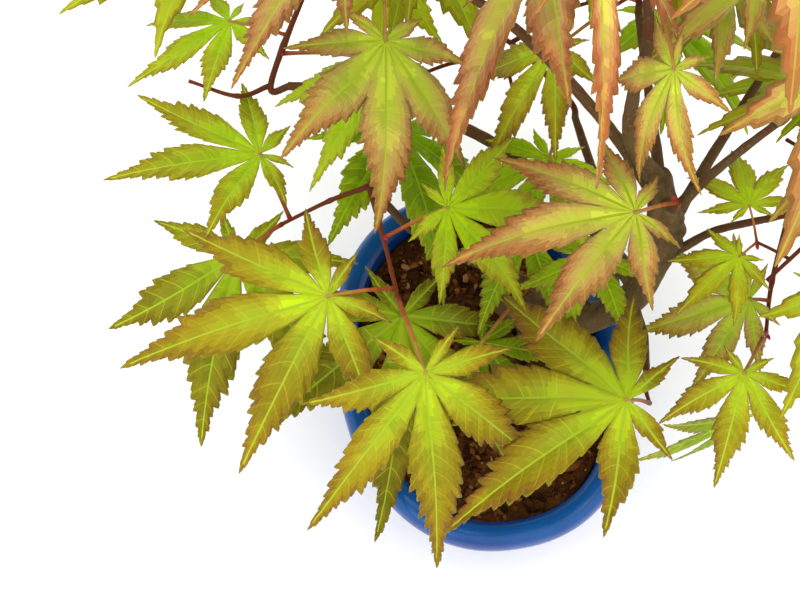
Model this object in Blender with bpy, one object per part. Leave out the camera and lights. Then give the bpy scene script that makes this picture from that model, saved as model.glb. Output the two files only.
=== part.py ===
"""Potted Japanese maple: a young plant with deeply cut leaves in a small oval glazed pot.

Sizes are in millimetres, and MM turns them into Blender's metres. +Z is up, and the origin is the
centre of the pot's flat underside. The pot's long side lies along Y.
"""

import collections
import math
import random

import bmesh
import bpy
import numpy as np
from mathutils import Matrix, Vector
from mathutils.bvhtree import BVHTree

MM = 0.001
GAP = 0.3

# Pot: a rounded oval, measured over its rim.
POT_HALF_WIDTH = 54.0
POT_HALF_LENGTH = 71.0
POT_HEIGHT = 54.0
POT_SQUARENESS = 2.25
POT_STEPS = 36
FOOT_INSET = 19.0
COLLAR_INSET = 3.6
RIM_WIDTH = 9.0
WALL_FOOT = 20.0
FLOOR_THICKNESS = 6.0
SOIL_TOP = 46.0
SOIL_CLEARANCE = 0.4

# Trunk: route and radius, from under the soil to the fork. The knob is an old healed cut.
TRUNK = (
    (24.0, 13.0, 38.0, 8.6),
    (28.0, 10.5, 47.0, 7.2),
    (33.0, 6.5, 57.0, 6.0),
    (42.0, 1.5, 72.0, 5.3),
    (51.0, -0.5, 88.0, 5.0),
    (57.0, 4.0, 103.0, 5.0),
    (60.0, 10.0, 116.0, 6.6),
    (58.0, 14.0, 127.0, 4.9),
    (55.0, 18.0, 138.0, 4.2),
)
LIMB_STEPS = 3
TRUNK_SIDES = 10
BOUGH_SIDES = 6
ROOT_BEARINGS = (25.0, 95.0, 152.0, 215.0, 300.0)
ROOT_REACHES = (11.0, 14.0, 20.0, 13.0, 12.0)
ROOT_RADII = (3.4, 1.9)
ROOT_RISE = 9.0
ROOT_DIP = 4.0

# Boughs: height of the foot on the trunk, the route from there, and the radii of foot and tip.
Bough = collections.namedtuple("Bough", "height route foot tip")
BOUGHS = {
    "left": Bough(64, ((24, 17, 68), (8, 26, 71), (-17, 36, 86), (-32, 40, 113)), 2.6, 1.4),
    "inner": Bough(72, ((34, 8, 75), (24, 12, 77)), 1.8, 1.1),
    "low_back": Bough(78, ((50, 30, 84), (46, 72, 93)), 2.4, 1.4),
    "front": Bough(86, ((51, -14, 88), (49, -27, 88)), 2.0, 1.3),
    "back_left": Bough(92, ((38, 30, 97), (10, 62, 103), (-30, 84, 109), (-56, 90, 111)), 2.8, 1.5),
    "low_right": Bough(104, ((66, 5, 110), (76, 6, 117), (92, 4, 124)), 1.7, 1.2),
    "back_right": Bough(113, ((82, 32, 130), (108, 58, 148)), 2.0, 1.3),
    "right": Bough(120, ((68, 14, 133), (76, 16, 144), (90, 20, 156)), 1.8, 1.3),
    "back": Bough(122, ((60, 40, 134), (61, 74, 149)), 2.1, 1.3),
    "upper_left": Bough(125, ((40, 34, 149), (14, 60, 170), (-17, 83, 181)), 2.1, 1.3),
    "middle": Bough(128, ((57, 5, 139), (55, 1, 149)), 1.9, 1.2),
    "leader": Bough(135, ((46, 24, 152), (44, 27, 172), (46, 31, 192), (46, 42, 208)), 2.6, 1.4),
}

# Leaf: seven lobes round the top of its stalk, the middle one along the leaf's own axis.
LOBE_ANGLES = np.radians((-132, -89, -44, 0, 44, 89, 132))
LOBE_REACHES = (0.29, 0.54, 0.84, 1.0, 0.84, 0.54, 0.29)
MIDDLE_LOBE = 3
NOTCH_REACH = 0.19
SHOULDER_REACH = 0.5
SHOULDER_HALF_WIDTH = 0.14
HEEL_REACH = 0.05
LAST_SHOULDERED = math.radians(100)
LEAF_THICKNESS = 1.7
STALK_RADII = (0.75, 0.6)
STALK_SINK = 0.5

# A leaf: its centre, compass bearing, pitch, roll, length of the middle lobe, droop as a share of that
# length, spread of the lobes, and bias of length towards the left lobes.
Leaf = collections.namedtuple("Leaf", "centre bearing pitch roll size droop spread bias")

# A mass of foliage: its bough, the twigs and leaves of its open side, and the heart, reach, count of
# shoots and seed that deal out the rest.
Mass = collections.namedtuple(
    "Mass", "bough twigs leaves heart reach shoots seed", defaults=((), (), None, None, 0, 0)
)
MASSES = {
    "left": Mass(
        "left",
        twigs=(((-33, 20, 120), (-32, -3, 121)), ((-48, 41, 112), (-65, 37, 108))),
        leaves=(
            Leaf((-29, -35, 135), -94, 43, -24, 67, 0.02, 1.00, -0.10),
            Leaf((-54, 0, 124), -172, 3, -1, 70, 0.09, 1.05, 0.10),
            Leaf((-12, 21, 132), -5, 13, 20, 49, 0.23, 1.04, -0.18),
            Leaf((-69, 62, 114), -171, -13, 8, 54, 0.02, 1.08, -0.20),
            Leaf((-82, 32, 99), -114, 25, 0, 69, 0.13, 1.12, 0.12),
            Leaf((-29, 7, 85), -103, 14, -28, 78, 0.06, 1.04, 0.05),
            Leaf((-20, 71, 104), -80, 3, -26, 66, 0.13, 1.00, 0.00),
        ),
    ),
    "inner": Mass(
        "inner",
        leaves=(
            Leaf((19, 28, 97), -131, 20, 13, 42, 0.14, 1.00, 0.00),
            Leaf((38, 10, 103), -129, 5, 9, 37, 0.12, 1.00, 0.00),
            Leaf((-2, -2, 72), -60, 4, -8, 38, 0.12, 1.00, 0.00),
        ),
    ),
    "low_back": Mass(
        "low_back",
        leaves=(Leaf((28, 44, 114), -125, 12, 6, 45, 0.15, 1.00, 0.00),),
        heart=(20, 116, 96), reach=(68, 46, 26), shoots=4, seed=3,
    ),
    "front": Mass(
        "front",
        twigs=(((48, -33, 84), (46, -41, 92)),),
        leaves=(Leaf((33, -47, 116), 161, 14, 9, 83, 0.13, 0.98, 0.03),),
    ),
    "back_left": Mass(
        "back_left",
        twigs=(((-74, 88, 112), (-90, 95, 115)),),
        leaves=(
            Leaf((-73, 119, 114), -157, 0, 15, 44, 0.12, 1.08, 0.05),
            Leaf((-23, 78, 135), -137, 12, 21, 50, 0.14, 1.08, -0.15),
        ),
        heart=(-30, 150, 120), reach=(58, 40, 32), shoots=4, seed=5,
    ),
    "low_right": Mass(
        "low_right",
        twigs=(((90, -14, 114), (86, -28, 106)),),
        leaves=(
            Leaf((82, -18, 112), 170, 34, -13, 45, 0.19, 0.95, 0.00),
            Leaf((70, -46, 121), -116, 14, 0, 37, 0.12, 1.00, 0.00),
            Leaf((73, -52, 95), -164, 14, -86, 41, 0.12, 1.00, 0.00),
        ),
        heart=(122, -4, 126), reach=(50, 48, 28), shoots=4, seed=6,
    ),
    "back_right": Mass("back_right", heart=(122, 92, 152), reach=(54, 48, 34), shoots=4, seed=7),
    "right": Mass("right", heart=(110, 38, 186), reach=(54, 52, 36), shoots=4, seed=8),
    "back": Mass(
        "back",
        leaves=(
            Leaf((33, 69, 142), -149, 40, 23, 49, 0.17, 1.05, -0.10),
        ),
        heart=(50, 126, 150), reach=(62, 48, 34), shoots=4, seed=9,
    ),
    "upper_left": Mass(
        "upper_left",
        leaves=(
            Leaf((-24, 68, 160), -97, 19, -27, 61, 0.21, 0.93, 0.00),
            Leaf((-33, 95, 189), -135, 3, 25, 64, 0.16, 0.90, -0.20),
        ),
        heart=(-22, 128, 192), reach=(60, 44, 34), shoots=4, seed=10,
    ),
    "middle": Mass("middle", leaves=(Leaf((40, -3, 156), 179, 0, 6, 60, 0.21, 0.97, 0.00),)),
    "top": Mass(
        "leader",
        leaves=(
            Leaf((22, 62, 209), -134, 19, 45, 78, 0.16, 1.00, 0.00),
            Leaf((21, 33, 256), -84, 31, -38, 72, 0.18, 1.00, 0.00),
            Leaf((45, 10, 210), -144, 59, 28, 41, 0.26, 1.09, 0.00),
        ),
        heart=(45, 88, 240), reach=(74, 56, 40), shoots=5, seed=12,
    ),
}
JOINT_LENGTH = 6.0
STEM_ARCH = 4.0
STEM_RADII = (1.3, 0.9)
TWIG_RADII = (1.0, 0.6)

# The ranges that shoots and their leaves are dealt from.
GOLDEN_TURN = math.radians(137.5)
SHOOT_RISE = (-0.5, 0.75)
SHOOT_REACH = 0.8
SHOOT_ARCH = (2, 9)
LEAF_AHEAD = (0.3, 0.9)
LEAF_ASIDE = (0.8, 1.1)
LEAF_LIFT = (-0.15, 0.35)
STALK_LENGTH = (18, 30)
BEARING_SCATTER = (-15, 15)
PITCH_RANGE = (5, 32)
ROLL_RANGE = (-22, 22)
SIZE_RANGE = (48, 64)
DROOP_RANGE = (0.08, 0.24)
SPREAD_RANGE = (0.95, 1.08)
BIAS_RANGE = (-0.12, 0.12)
TRIES = 3
TRY_LIFT = 7.0

# What a dealt leaf keeps clear of: the pot below, its neighbours, and the crown's open face, which is
# settled leaf by leaf. The face is bounded by two planes, each a normal and a distance.
LOWEST_DEALT = 58.0
CLEAR_THICKNESS = 5.0
CLEAR_GROWTH = 1.04
OPEN_PLANES = (((0.946, -0.254, 0.202), 90.4), ((0.130, 0.778, 0.614), 160.5))
OPEN_SLACK = 22.0

COLOURS = {
    "glaze": ((0.004, 0.052, 0.262), 0.18),
    "soil": ((0.080, 0.030, 0.009), 0.95),
    "bark": ((0.150, 0.100, 0.070), 0.80),
    "leaf": ((0.300, 0.400, 0.020), 0.45),
}


def clear_scene():
    for obj in list(bpy.data.objects):
        bpy.data.objects.remove(obj, do_unlink=True)


def new_collection(name):
    collection = bpy.data.collections.new(name)
    bpy.context.scene.collection.children.link(collection)
    return collection


def make_material(name, colour, roughness):
    material = bpy.data.materials.new(name)
    material.use_nodes = True
    shader = material.node_tree.nodes["Principled BSDF"]
    shader.inputs["Base Color"].default_value = (*colour, 1.0)
    shader.inputs["Roughness"].default_value = roughness
    return material


def smooth(points, steps):
    """A Catmull-Rom curve through the points, with this many steps to each stretch."""
    p = np.array(points, float)
    p = np.vstack([2 * p[0] - p[1], p, 2 * p[-1] - p[-2]])
    t = np.linspace(0, 1, steps, endpoint=False)[:, None]
    runs = [
        b + (c - a) / 2 * t + (a - 2.5 * b + 2 * c - d / 2) * t**2 + (1.5 * (b - c) + (d - a) / 2) * t**3
        for a, b, c, d in zip(p, p[1:], p[2:], p[3:])
    ]
    return np.vstack([*runs, p[-2]])


def unit(vector):
    return np.asarray(vector, float) / np.linalg.norm(vector)


# Pot and soil


def oval_ring(inset, height):
    """Points round the pot's superellipse, drawn in by the inset."""
    turn = np.linspace(0, 2 * math.pi, POT_STEPS, endpoint=False)
    power = 2 / POT_SQUARENESS
    x = (POT_HALF_WIDTH - inset) * np.sign(np.cos(turn)) * np.abs(np.cos(turn)) ** power
    y = (POT_HALF_LENGTH - inset) * np.sign(np.sin(turn)) * np.abs(np.sin(turn)) ** power
    return np.column_stack([x, y, np.full(POT_STEPS, height)])


def loft_oval(name, profile, material, collection):
    """A closed solid whose skin runs up through one oval ring for each inset and height."""
    mesh = bmesh.new()
    rings = []
    for inset, height in profile:
        rings.append([mesh.verts.new(point * MM) for point in oval_ring(inset, height)])
    for lower, upper in zip(rings, rings[1:]):
        for i in range(POT_STEPS):
            j = (i + 1) % POT_STEPS
            mesh.faces.new((lower[i], lower[j], upper[j], upper[i]))
    mesh.faces.new(rings[0][::-1])
    mesh.faces.new(rings[-1])
    return object_from(name, mesh, material, collection)


def object_from(name, mesh, material, collection):
    data = bpy.data.meshes.new(name)
    bmesh.ops.recalc_face_normals(mesh, faces=mesh.faces)
    mesh.to_mesh(data)
    mesh.free()
    data.materials.append(material)
    obj = bpy.data.objects.new(name, data)
    collection.objects.link(obj)
    return obj


def inner_wall(height):
    """Inset of the pot's inner face at a height between its floor and its rim."""
    rise = (height - FLOOR_THICKNESS) / (POT_HEIGHT - FLOOR_THICKNESS)
    return RIM_WIDTH + (WALL_FOOT - RIM_WIDTH) * (1 - rise) ** 1.6


def make_pot(material, collection):
    """Outside from the flat foot up to the collar and over the rounded rim, then down the inside."""
    outside = [(FOOT_INSET, 0.0), (FOOT_INSET - 1.5, 1.2), (FOOT_INSET - 1.8, 4.0), (15.2, 6.0)]
    outside += [(10.4, 17.0), (6.4, 31.0), (COLLAR_INSET, 44.0)]
    rim = [(0.3, 45.6), (0.0, 48.5), (0.7, 51.8), (2.4, 53.6), (4.5, POT_HEIGHT), (6.8, 53.5)]
    inside = [(inner_wall(height), height) for height in (51.5, 42.0, 26.0, 12.0, FLOOR_THICKNESS)]
    return loft_oval("pot", outside + rim + inside, material, collection)


def make_soil(material, collection):
    """The soil fills the pot to below its rim, clear of the sloping wall and of the floor."""
    heights = (FLOOR_THICKNESS + GAP, 12.0, 26.0, 42.0, SOIL_TOP)
    profile = [(inner_wall(height) + SOIL_CLEARANCE, height) for height in heights]
    return loft_oval("soil", profile, material, collection)


# Trunk and boughs


def make_tube(name, points, radii, sides, material, collection):
    """A tapering limb: a poly curve with a round bevel, made a closed mesh."""
    curve = bpy.data.curves.new(name, "CURVE")
    curve.dimensions = "3D"
    curve.bevel_depth = MM
    curve.bevel_resolution = (sides - 4) // 2
    curve.use_fill_caps = True
    spline = curve.splines.new("POLY")
    spline.points.add(len(points) - 1)
    for point, place, radius in zip(spline.points, points, radii):
        point.co = (*(place * MM), 1.0)
        point.radius = radius
    tube = bpy.data.objects.new(name + "_curve", curve)
    collection.objects.link(tube)
    evaluated = tube.evaluated_get(bpy.context.evaluated_depsgraph_get())
    data = bpy.data.meshes.new_from_object(evaluated)
    bpy.data.objects.remove(tube)
    bpy.data.curves.remove(curve)
    mesh = bmesh.new()
    mesh.from_mesh(data)
    bpy.data.meshes.remove(data)
    bmesh.ops.remove_doubles(mesh, verts=mesh.verts, dist=1e-6)
    return object_from(name, mesh, material, collection)


def add_boolean(obj, operation, other):
    """A Boolean with one object, or with every object of a collection."""
    boolean = obj.modifiers.new(operation.title(), "BOOLEAN")
    boolean.operation = operation
    if isinstance(other, bpy.types.Collection):
        boolean.operand_type = "COLLECTION"
        boolean.collection = other
        boolean.solver = "MANIFOLD"
    else:
        boolean.object = other
    return boolean


def apply_modifiers(obj):
    evaluated = obj.evaluated_get(bpy.context.evaluated_depsgraph_get())
    data = bpy.data.meshes.new_from_object(evaluated)
    obj.modifiers.clear()
    obj.data = data


def keep_largest_body(obj):
    """Drops loose scraps and sealed hollows, which are the smaller connected sets of faces."""
    mesh = bmesh.new()
    mesh.from_mesh(obj.data)
    left = set(mesh.verts)
    bodies = []
    while left:
        body = {left.pop()}
        edge = list(body)
        while edge:
            near = {e.other_vert(v) for v in edge for e in v.link_edges} - body
            body |= near
            edge = list(near)
        left -= body
        bodies.append(body)
    bodies.sort(key=len)
    for body in bodies[:-1]:
        bmesh.ops.delete(mesh, geom=list(body), context="VERTS")
    mesh.to_mesh(obj.data)
    mesh.free()


def fuse(obj, pieces):
    """Joins the collection's objects to this one, and removes them."""
    add_boolean(obj, "UNION", pieces)
    apply_modifiers(obj)
    for piece in list(pieces.objects):
        bpy.data.objects.remove(piece, do_unlink=True)
    bpy.data.collections.remove(pieces)
    keep_largest_body(obj)


def make_trunk(material, collection, cutters):
    """The trunk with its root flare, cut flat just above the soil."""
    route = smooth(TRUNK, LIMB_STEPS)
    trunk = make_tube("trunk", route[:, :3], route[:, 3], TRUNK_SIDES, material, collection)
    pieces = new_collection("root_flare")
    foot = np.array(TRUNK[1][:3])
    for i, (bearing, reach) in enumerate(zip(ROOT_BEARINGS, ROOT_REACHES)):
        out = np.array([math.cos(math.radians(bearing)), math.sin(math.radians(bearing)), 0.0]) * reach
        start, end = foot + (0, 0, ROOT_RISE), foot + out - (0, 0, ROOT_DIP)
        route = smooth([start, foot + out / 2 + (0, 0, 1), end], LIMB_STEPS)
        make_tube(f"root_{i}", route, np.linspace(*ROOT_RADII, len(route)), 6, material, pieces)
    fuse(trunk, pieces)
    bpy.ops.mesh.primitive_cube_add(size=1.0)
    ground = bpy.context.object
    ground.name = "ground_cutter"
    depth = 40.0
    ground.dimensions = (2 * POT_HALF_WIDTH * MM, 2 * POT_HALF_LENGTH * MM, depth * MM)
    ground.location = (0.0, 0.0, (SOIL_TOP + GAP - depth / 2) * MM)
    as_cutter(ground, cutters)
    add_boolean(trunk, "DIFFERENCE", ground)
    return trunk


def as_cutter(obj, cutters):
    for collection in list(obj.users_collection):
        collection.objects.unlink(obj)
    cutters.objects.link(obj)
    obj.hide_render = True
    obj.display_type = "WIRE"


def trunk_point(height):
    """The trunk's axis at a height."""
    route = smooth(TRUNK, LIMB_STEPS)
    return np.array([np.interp(height, route[:, 2], route[:, axis]) for axis in (0, 1, 2)])


def bough_route(bough):
    return smooth([trunk_point(bough.height), *bough.route], LIMB_STEPS)


def make_boughs(material, collection, cutters):
    """Tapering limbs that spring from the trunk's axis, each cut clear of the trunk."""
    route = smooth(TRUNK, LIMB_STEPS)
    end = route[-1, :3] + unit(route[-1, :3] - route[-2, :3]) * GAP
    points = np.vstack([route[:-1, :3], end])
    clearance = make_tube("trunk_clearance", points, route[:, 3] + GAP, TRUNK_SIDES, material, collection)
    as_cutter(clearance, cutters)
    for name, bough in BOUGHS.items():
        points = bough_route(bough)
        radii = np.linspace(bough.foot, bough.tip, len(points))
        limb = make_tube(f"bough_{name}", points, radii, BOUGH_SIDES, material, collection)
        add_boolean(limb, "DIFFERENCE", clearance)


# Leaves


def leaf_axes(leaf):
    """The leaf's own axes: along its middle lobe, to its left, and up from its face."""
    bearing, pitch, roll = np.radians((leaf.bearing, leaf.pitch, leaf.roll))
    ahead = (math.cos(bearing) * math.cos(pitch), math.sin(bearing) * math.cos(pitch), -math.sin(pitch))
    level = np.array([-math.sin(bearing), math.cos(bearing), 0.0])
    left = math.cos(roll) * level + math.sin(roll) * np.cross(ahead, level)
    return np.array(ahead), left, np.cross(ahead, left)


def leaf_places(leaf, reach, angle):
    """World points at these distances and angles from the leaf's centre, on its drooping blade."""
    reach = np.asarray(reach, float)
    drop = leaf.droop * reach**2 / leaf.size
    flat = reach * np.sqrt(np.maximum(1 - (drop / np.maximum(reach, 1e-9)) ** 2, 0.2))
    ahead, left, up = leaf_axes(leaf)
    across = np.outer(flat * np.cos(angle), ahead) + np.outer(flat * np.sin(angle), left)
    return np.array(leaf.centre) + across - np.outer(drop, up)


def lobe(leaf, index):
    """A lobe's angle and length."""
    side = np.sign(index - MIDDLE_LOBE) * min(abs(index - MIDDLE_LOBE), 2) / 2
    return LOBE_ANGLES[index] * leaf.spread, LOBE_REACHES[index] * leaf.size * (1 + leaf.bias * side)


def leaf_outline(leaf):
    """Heel, then shoulder, tip and shoulder of each lobe, with a notch between lobes."""
    reach, angle = [HEEL_REACH * leaf.size], [-math.pi]
    lobes = [lobe(leaf, index) for index in range(len(LOBE_REACHES))]
    for (turn, length), following in zip(lobes, [*lobes[1:], None]):
        half = math.atan2(SHOULDER_HALF_WIDTH, SHOULDER_REACH)
        shoulder = length * math.hypot(SHOULDER_HALF_WIDTH, SHOULDER_REACH)
        if abs(turn) < LAST_SHOULDERED * leaf.spread:
            reach += [shoulder, length, shoulder]
            angle += [turn - half, turn, turn + half]
        else:
            reach.append(length)
            angle.append(turn)
        if following:
            reach.append(NOTCH_REACH * (length + following[1]) / 2)
            angle.append((turn + following[0]) / 2)
    return leaf_places(leaf, reach, np.array(angle))


def leaf_shell(leaf, thickness):
    """Points and faces of the blade: two fans over its outline, apart by the thickness at the centre."""
    edge = leaf_outline(leaf)
    up = leaf_axes(leaf)[2] * thickness / 2
    points = np.vstack([edge, leaf.centre + up, leaf.centre - up])
    count = len(edge)
    faces = [(i, (i + 1) % count, count) for i in range(count)]
    faces += [((i + 1) % count, i, count + 1) for i in range(count)]
    return points, faces


def leaf_tree(leaf):
    """A slightly larger and thicker shell, which keeps leaves clear of what they are tested against."""
    points, faces = leaf_shell(leaf._replace(size=leaf.size * CLEAR_GROWTH), CLEAR_THICKNESS)
    return BVHTree.FromPolygons(points.tolist(), faces)


# Growth of the masses


def rod_tree(points, radius):
    """A square tube round each stretch of a route, for clearance tests."""
    places, faces = [], []
    for start, end in zip(points, points[1:]):
        axis = unit(end - start)
        across = unit(np.cross(axis, (1, 0, 0) if abs(axis[2]) > 0.9 else (0, 0, 1)))
        other = np.cross(axis, across)
        first = len(places)
        for foot in (start, end):
            places += [foot + radius * side for side in (across, other, -across, -other)]
        faces += [(first + i, first + (i + 1) % 4, first + 4 + (i + 1) % 4, first + 4 + i) for i in range(4)]
    return BVHTree.FromPolygons([tuple(place) for place in places], faces)


def nearest_on(routes, place):
    """The point nearest to a place on any of the routes, of which the first may be one point."""
    best = routes[0][0]
    for route in routes:
        for start, end in zip(route, route[1:]):
            along = np.clip(np.dot(place - start, end - start) / np.dot(end - start, end - start), 0, 1)
            found = start + along * (end - start)
            if np.linalg.norm(place - found) < np.linalg.norm(place - best):
                best = found
    return best


def stem_route(mass):
    """The mass's stem: clear of its bough's tip, then on towards its heart."""
    route = bough_route(BOUGHS[mass.bough])
    ahead = unit(route[-1] - route[-2])
    points = [route[-1] + ahead * GAP, route[-1] + ahead * JOINT_LENGTH]
    if mass.heart:
        points += [(points[1] + mass.heart) / 2 + (0, 0, STEM_ARCH), np.array(mass.heart, float)]
    return np.array(points)


def behind_open_face(points):
    """Whether every point lies behind one or the other of the planes that bound the open face."""
    right, top = [points @ np.array(normal) > distance - OPEN_SLACK for normal, distance in OPEN_PLANES]
    return bool((right | top).all())


Growth = collections.namedtuple("Growth", "stem twigs stalks leaves")


def meets(shell, others):
    return any(shell.overlap(other) for other in others)


def stalk_route(foot, leaf):
    """A leaf stalk, which ends just inside the blade's centre."""
    return np.array([foot, leaf.centre + leaf_axes(leaf)[0] * STALK_SINK])


def deal_pair(dice, out, node):
    """Two leaves that spread to the two sides of a shoot."""
    side = unit(np.cross(out, (0, 0, 1)))
    pair = []
    for hand in (-1, 1):
        ahead = out * dice.uniform(*LEAF_AHEAD) + side * hand * dice.uniform(*LEAF_ASIDE)
        ahead = unit(ahead + (0, 0, dice.uniform(*LEAF_LIFT)))
        centre = node + ahead * dice.uniform(*STALK_LENGTH)
        bearing = math.degrees(math.atan2(ahead[1], ahead[0])) + dice.uniform(*BEARING_SCATTER)
        ranges = (PITCH_RANGE, ROLL_RANGE, SIZE_RANGE, DROOP_RANGE, SPREAD_RANGE, BIAS_RANGE)
        pair.append(Leaf(tuple(centre), bearing, *[dice.uniform(*limits) for limits in ranges]))
    return pair


class Crown:
    """The stem, twigs, stalks and leaves of each mass, with shells that keep the masses apart."""

    def __init__(self):
        self.limbs = [rod_tree(smooth(TRUNK, LIMB_STEPS)[:, :3], max(row[3] for row in TRUNK))]
        self.limbs += [rod_tree(bough_route(bough), bough.foot + GAP) for bough in BOUGHS.values()]
        self.growths = {}
        self.wood = []
        self.blades = []
        for name, mass in MASSES.items():
            self.settle(name, mass)
        for name, mass in MASSES.items():
            if mass.heart:
                self.deal(name, mass)

    def other_wood(self, name):
        """Shells of the twigs and stalks that belong to other masses."""
        return [shell for owner, shell in self.wood if owner != name]

    def settle(self, name, mass):
        """Adds the stem, and the twigs and leaves of the open side."""
        stem = stem_route(mass)
        twigs = [np.array([stem[1], *route], float) for route in mass.twigs]
        stalks = [stalk_route(nearest_on([stem[1:], *twigs], leaf.centre), leaf) for leaf in mass.leaves]
        self.growths[name] = Growth(stem, twigs, stalks, list(mass.leaves))
        self.wood += [(name, rod_tree(route, STEM_RADII[0] + GAP)) for route in (stem, *twigs, *stalks)]
        self.blades += [leaf_tree(leaf) for leaf in mass.leaves]

    def deal(self, name, mass):
        """Shoots turn by the golden angle round the stem, with a pair of leaves at each node."""
        dice = random.Random(mass.seed)
        turn = dice.uniform(0, 2 * math.pi)
        stem = self.growths[name].stem
        for shoot in range(mass.shoots):
            turn += GOLDEN_TURN
            rise = dice.uniform(*SHOOT_RISE)
            out = np.array([math.cos(turn) * math.cos(rise), math.sin(turn) * math.cos(rise), math.sin(rise)])
            start = stem[2] + (stem[3] - stem[2]) * (shoot + 0.5) / mass.shoots
            end = stem[3] + np.array(mass.reach) * out * SHOOT_REACH
            middle = (start + end) / 2 + (0, 0, dice.uniform(*SHOOT_ARCH))
            pairs = [deal_pair(dice, out, node) for node in (middle, end)]
            route = np.array([start, middle, end])
            shell = rod_tree(route, TWIG_RADII[0] + 2 * GAP)
            if meets(shell, self.limbs + self.blades + self.other_wood(name)):
                continue
            self.growths[name].twigs.append(route)
            self.wood.append((name, shell))
            for node, pair in zip((middle, end), pairs):
                for leaf in pair:
                    self.place(name, node, leaf)

    def place(self, name, node, leaf):
        """Adds the leaf where it is free, lifted a little if it must be, or leaves it out."""
        for attempt in range(TRIES):
            raised = leaf._replace(centre=tuple(np.add(leaf.centre, (0, 0, attempt * TRY_LIFT))))
            edge = leaf_outline(raised)
            if edge[:, 2].min() < LOWEST_DEALT or not behind_open_face(edge):
                continue
            blade = leaf_tree(raised)
            route = stalk_route(node, raised)
            stalk = rod_tree(route, STALK_RADII[0] + GAP)
            if meets(blade, self.limbs + self.blades + [shell for _, shell in self.wood]):
                continue
            if meets(stalk, self.limbs + self.blades + self.other_wood(name)):
                continue
            self.growths[name].leaves.append(raised)
            self.growths[name].stalks.append(route)
            self.blades.append(blade)
            self.wood.append((name, stalk))
            return


def add_rods(name, route, radii, material, collection):
    """Three-sided tapering rods along a route, each sunk back into the one before."""
    widths = np.linspace(*radii, len(route))
    for i, (start, end) in enumerate(zip(route, route[1:])):
        ahead = unit(end - start)
        foot = start - ahead * widths[i] * min(i, 1)
        mesh = bmesh.new()
        turn = Vector(ahead).to_track_quat("Z", "Y").to_matrix().to_4x4()
        place = Matrix.Translation(Vector((foot + end) / 2 * MM))
        bmesh.ops.create_cone(
            mesh,
            cap_ends=True,
            segments=3,
            radius1=widths[i] * MM,
            radius2=widths[i + 1] * MM,
            depth=float(np.linalg.norm(end - foot)) * MM,
            matrix=place @ turn,
        )
        object_from(name, mesh, material, collection)


def make_mass(name, growth, material, collection):
    """One solid: the stem with its twigs, leaf stalks and leaves fused on."""
    pieces = new_collection("pieces_" + name)
    add_rods("rod", growth.stem, STEM_RADII, material, pieces)
    for route in growth.twigs:
        add_rods("rod", route, TWIG_RADII, material, pieces)
    for route in growth.stalks:
        add_rods("rod", route, STALK_RADII, material, pieces)
    for leaf in growth.leaves:
        points, faces = leaf_shell(leaf, LEAF_THICKNESS)
        mesh = bmesh.new()
        corners = [mesh.verts.new(point * MM) for point in points]
        for face in faces:
            mesh.faces.new([corners[i] for i in face])
        object_from("blade", mesh, material, pieces)
    mass = pieces.objects[0]
    pieces.objects.unlink(mass)
    collection.objects.link(mass)
    mass.name = "foliage_" + name
    fuse(mass, pieces)


def main():
    clear_scene()
    plant = new_collection("potted_japanese_maple")
    cutters = new_collection("cutters")
    materials = {name: make_material(name, *look) for name, look in COLOURS.items()}
    make_pot(materials["glaze"], plant)
    make_soil(materials["soil"], plant)
    make_trunk(materials["bark"], plant, cutters)
    make_boughs(materials["bark"], plant, cutters)
    for name, growth in Crown().growths.items():
        make_mass(name, growth, materials["leaf"], plant)


main()
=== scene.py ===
"""Potted Japanese maple: a young plant with deeply cut leaves in a small oval glazed pot.

Named sizes are in millimetres, and MM turns them into metres. +Z is up, and the origin is the centre
of the pot's flat underside. The pot's long side lies along Y.
"""

import collections
import itertools
import math
import random

import bpy
import numpy as np
from bpy.props import FloatProperty, FloatVectorProperty, IntProperty, PointerProperty
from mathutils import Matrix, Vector
from mathutils.bvhtree import BVHTree


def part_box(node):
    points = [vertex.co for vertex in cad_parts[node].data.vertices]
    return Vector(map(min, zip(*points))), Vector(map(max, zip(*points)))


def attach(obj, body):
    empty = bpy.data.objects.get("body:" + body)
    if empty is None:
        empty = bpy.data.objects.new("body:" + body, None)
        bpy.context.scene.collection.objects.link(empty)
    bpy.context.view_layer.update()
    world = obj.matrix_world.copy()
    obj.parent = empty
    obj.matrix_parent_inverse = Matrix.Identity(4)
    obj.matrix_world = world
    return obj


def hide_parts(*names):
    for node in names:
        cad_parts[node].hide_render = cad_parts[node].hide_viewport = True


bl_info = {
    "name": "Potted Japanese maple",
    "version": (1, 0, 0),
    "blender": (4, 5, 0),
    "location": "View3D > Sidebar > Maple",
    "description": "Grows a young Japanese maple in its glazed pot, piece by piece",
    "category": "Add Mesh",
}

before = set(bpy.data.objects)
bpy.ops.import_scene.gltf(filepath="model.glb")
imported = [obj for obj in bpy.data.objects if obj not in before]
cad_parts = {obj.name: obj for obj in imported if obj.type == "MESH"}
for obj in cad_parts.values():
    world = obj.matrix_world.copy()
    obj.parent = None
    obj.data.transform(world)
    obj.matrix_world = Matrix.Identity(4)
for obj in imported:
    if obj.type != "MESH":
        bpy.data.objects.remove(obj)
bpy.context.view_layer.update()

BODY = "root"
MM = 0.001
# Clearance left between neighbouring solids.
GAP = 0.3
# Below this a width counts as none.
TINY = 1e-9

# Pot: a rounded oval, measured over its rim.
POT_HALF_WIDTH = 54.0
POT_HALF_LENGTH = 71.0
POT_HEIGHT = 54.0
POT_SQUARENESS = 2.25
FOOT_INSET = 19.0
COLLAR_INSET = 3.6
RIM_WIDTH = 9.0
WALL_FOOT = 20.0
WALL_CURVE = 1.6
FLOOR_THICKNESS = 6.0
SOIL_TOP = 46.0
SOIL_CLEARANCE = 0.4

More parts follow.
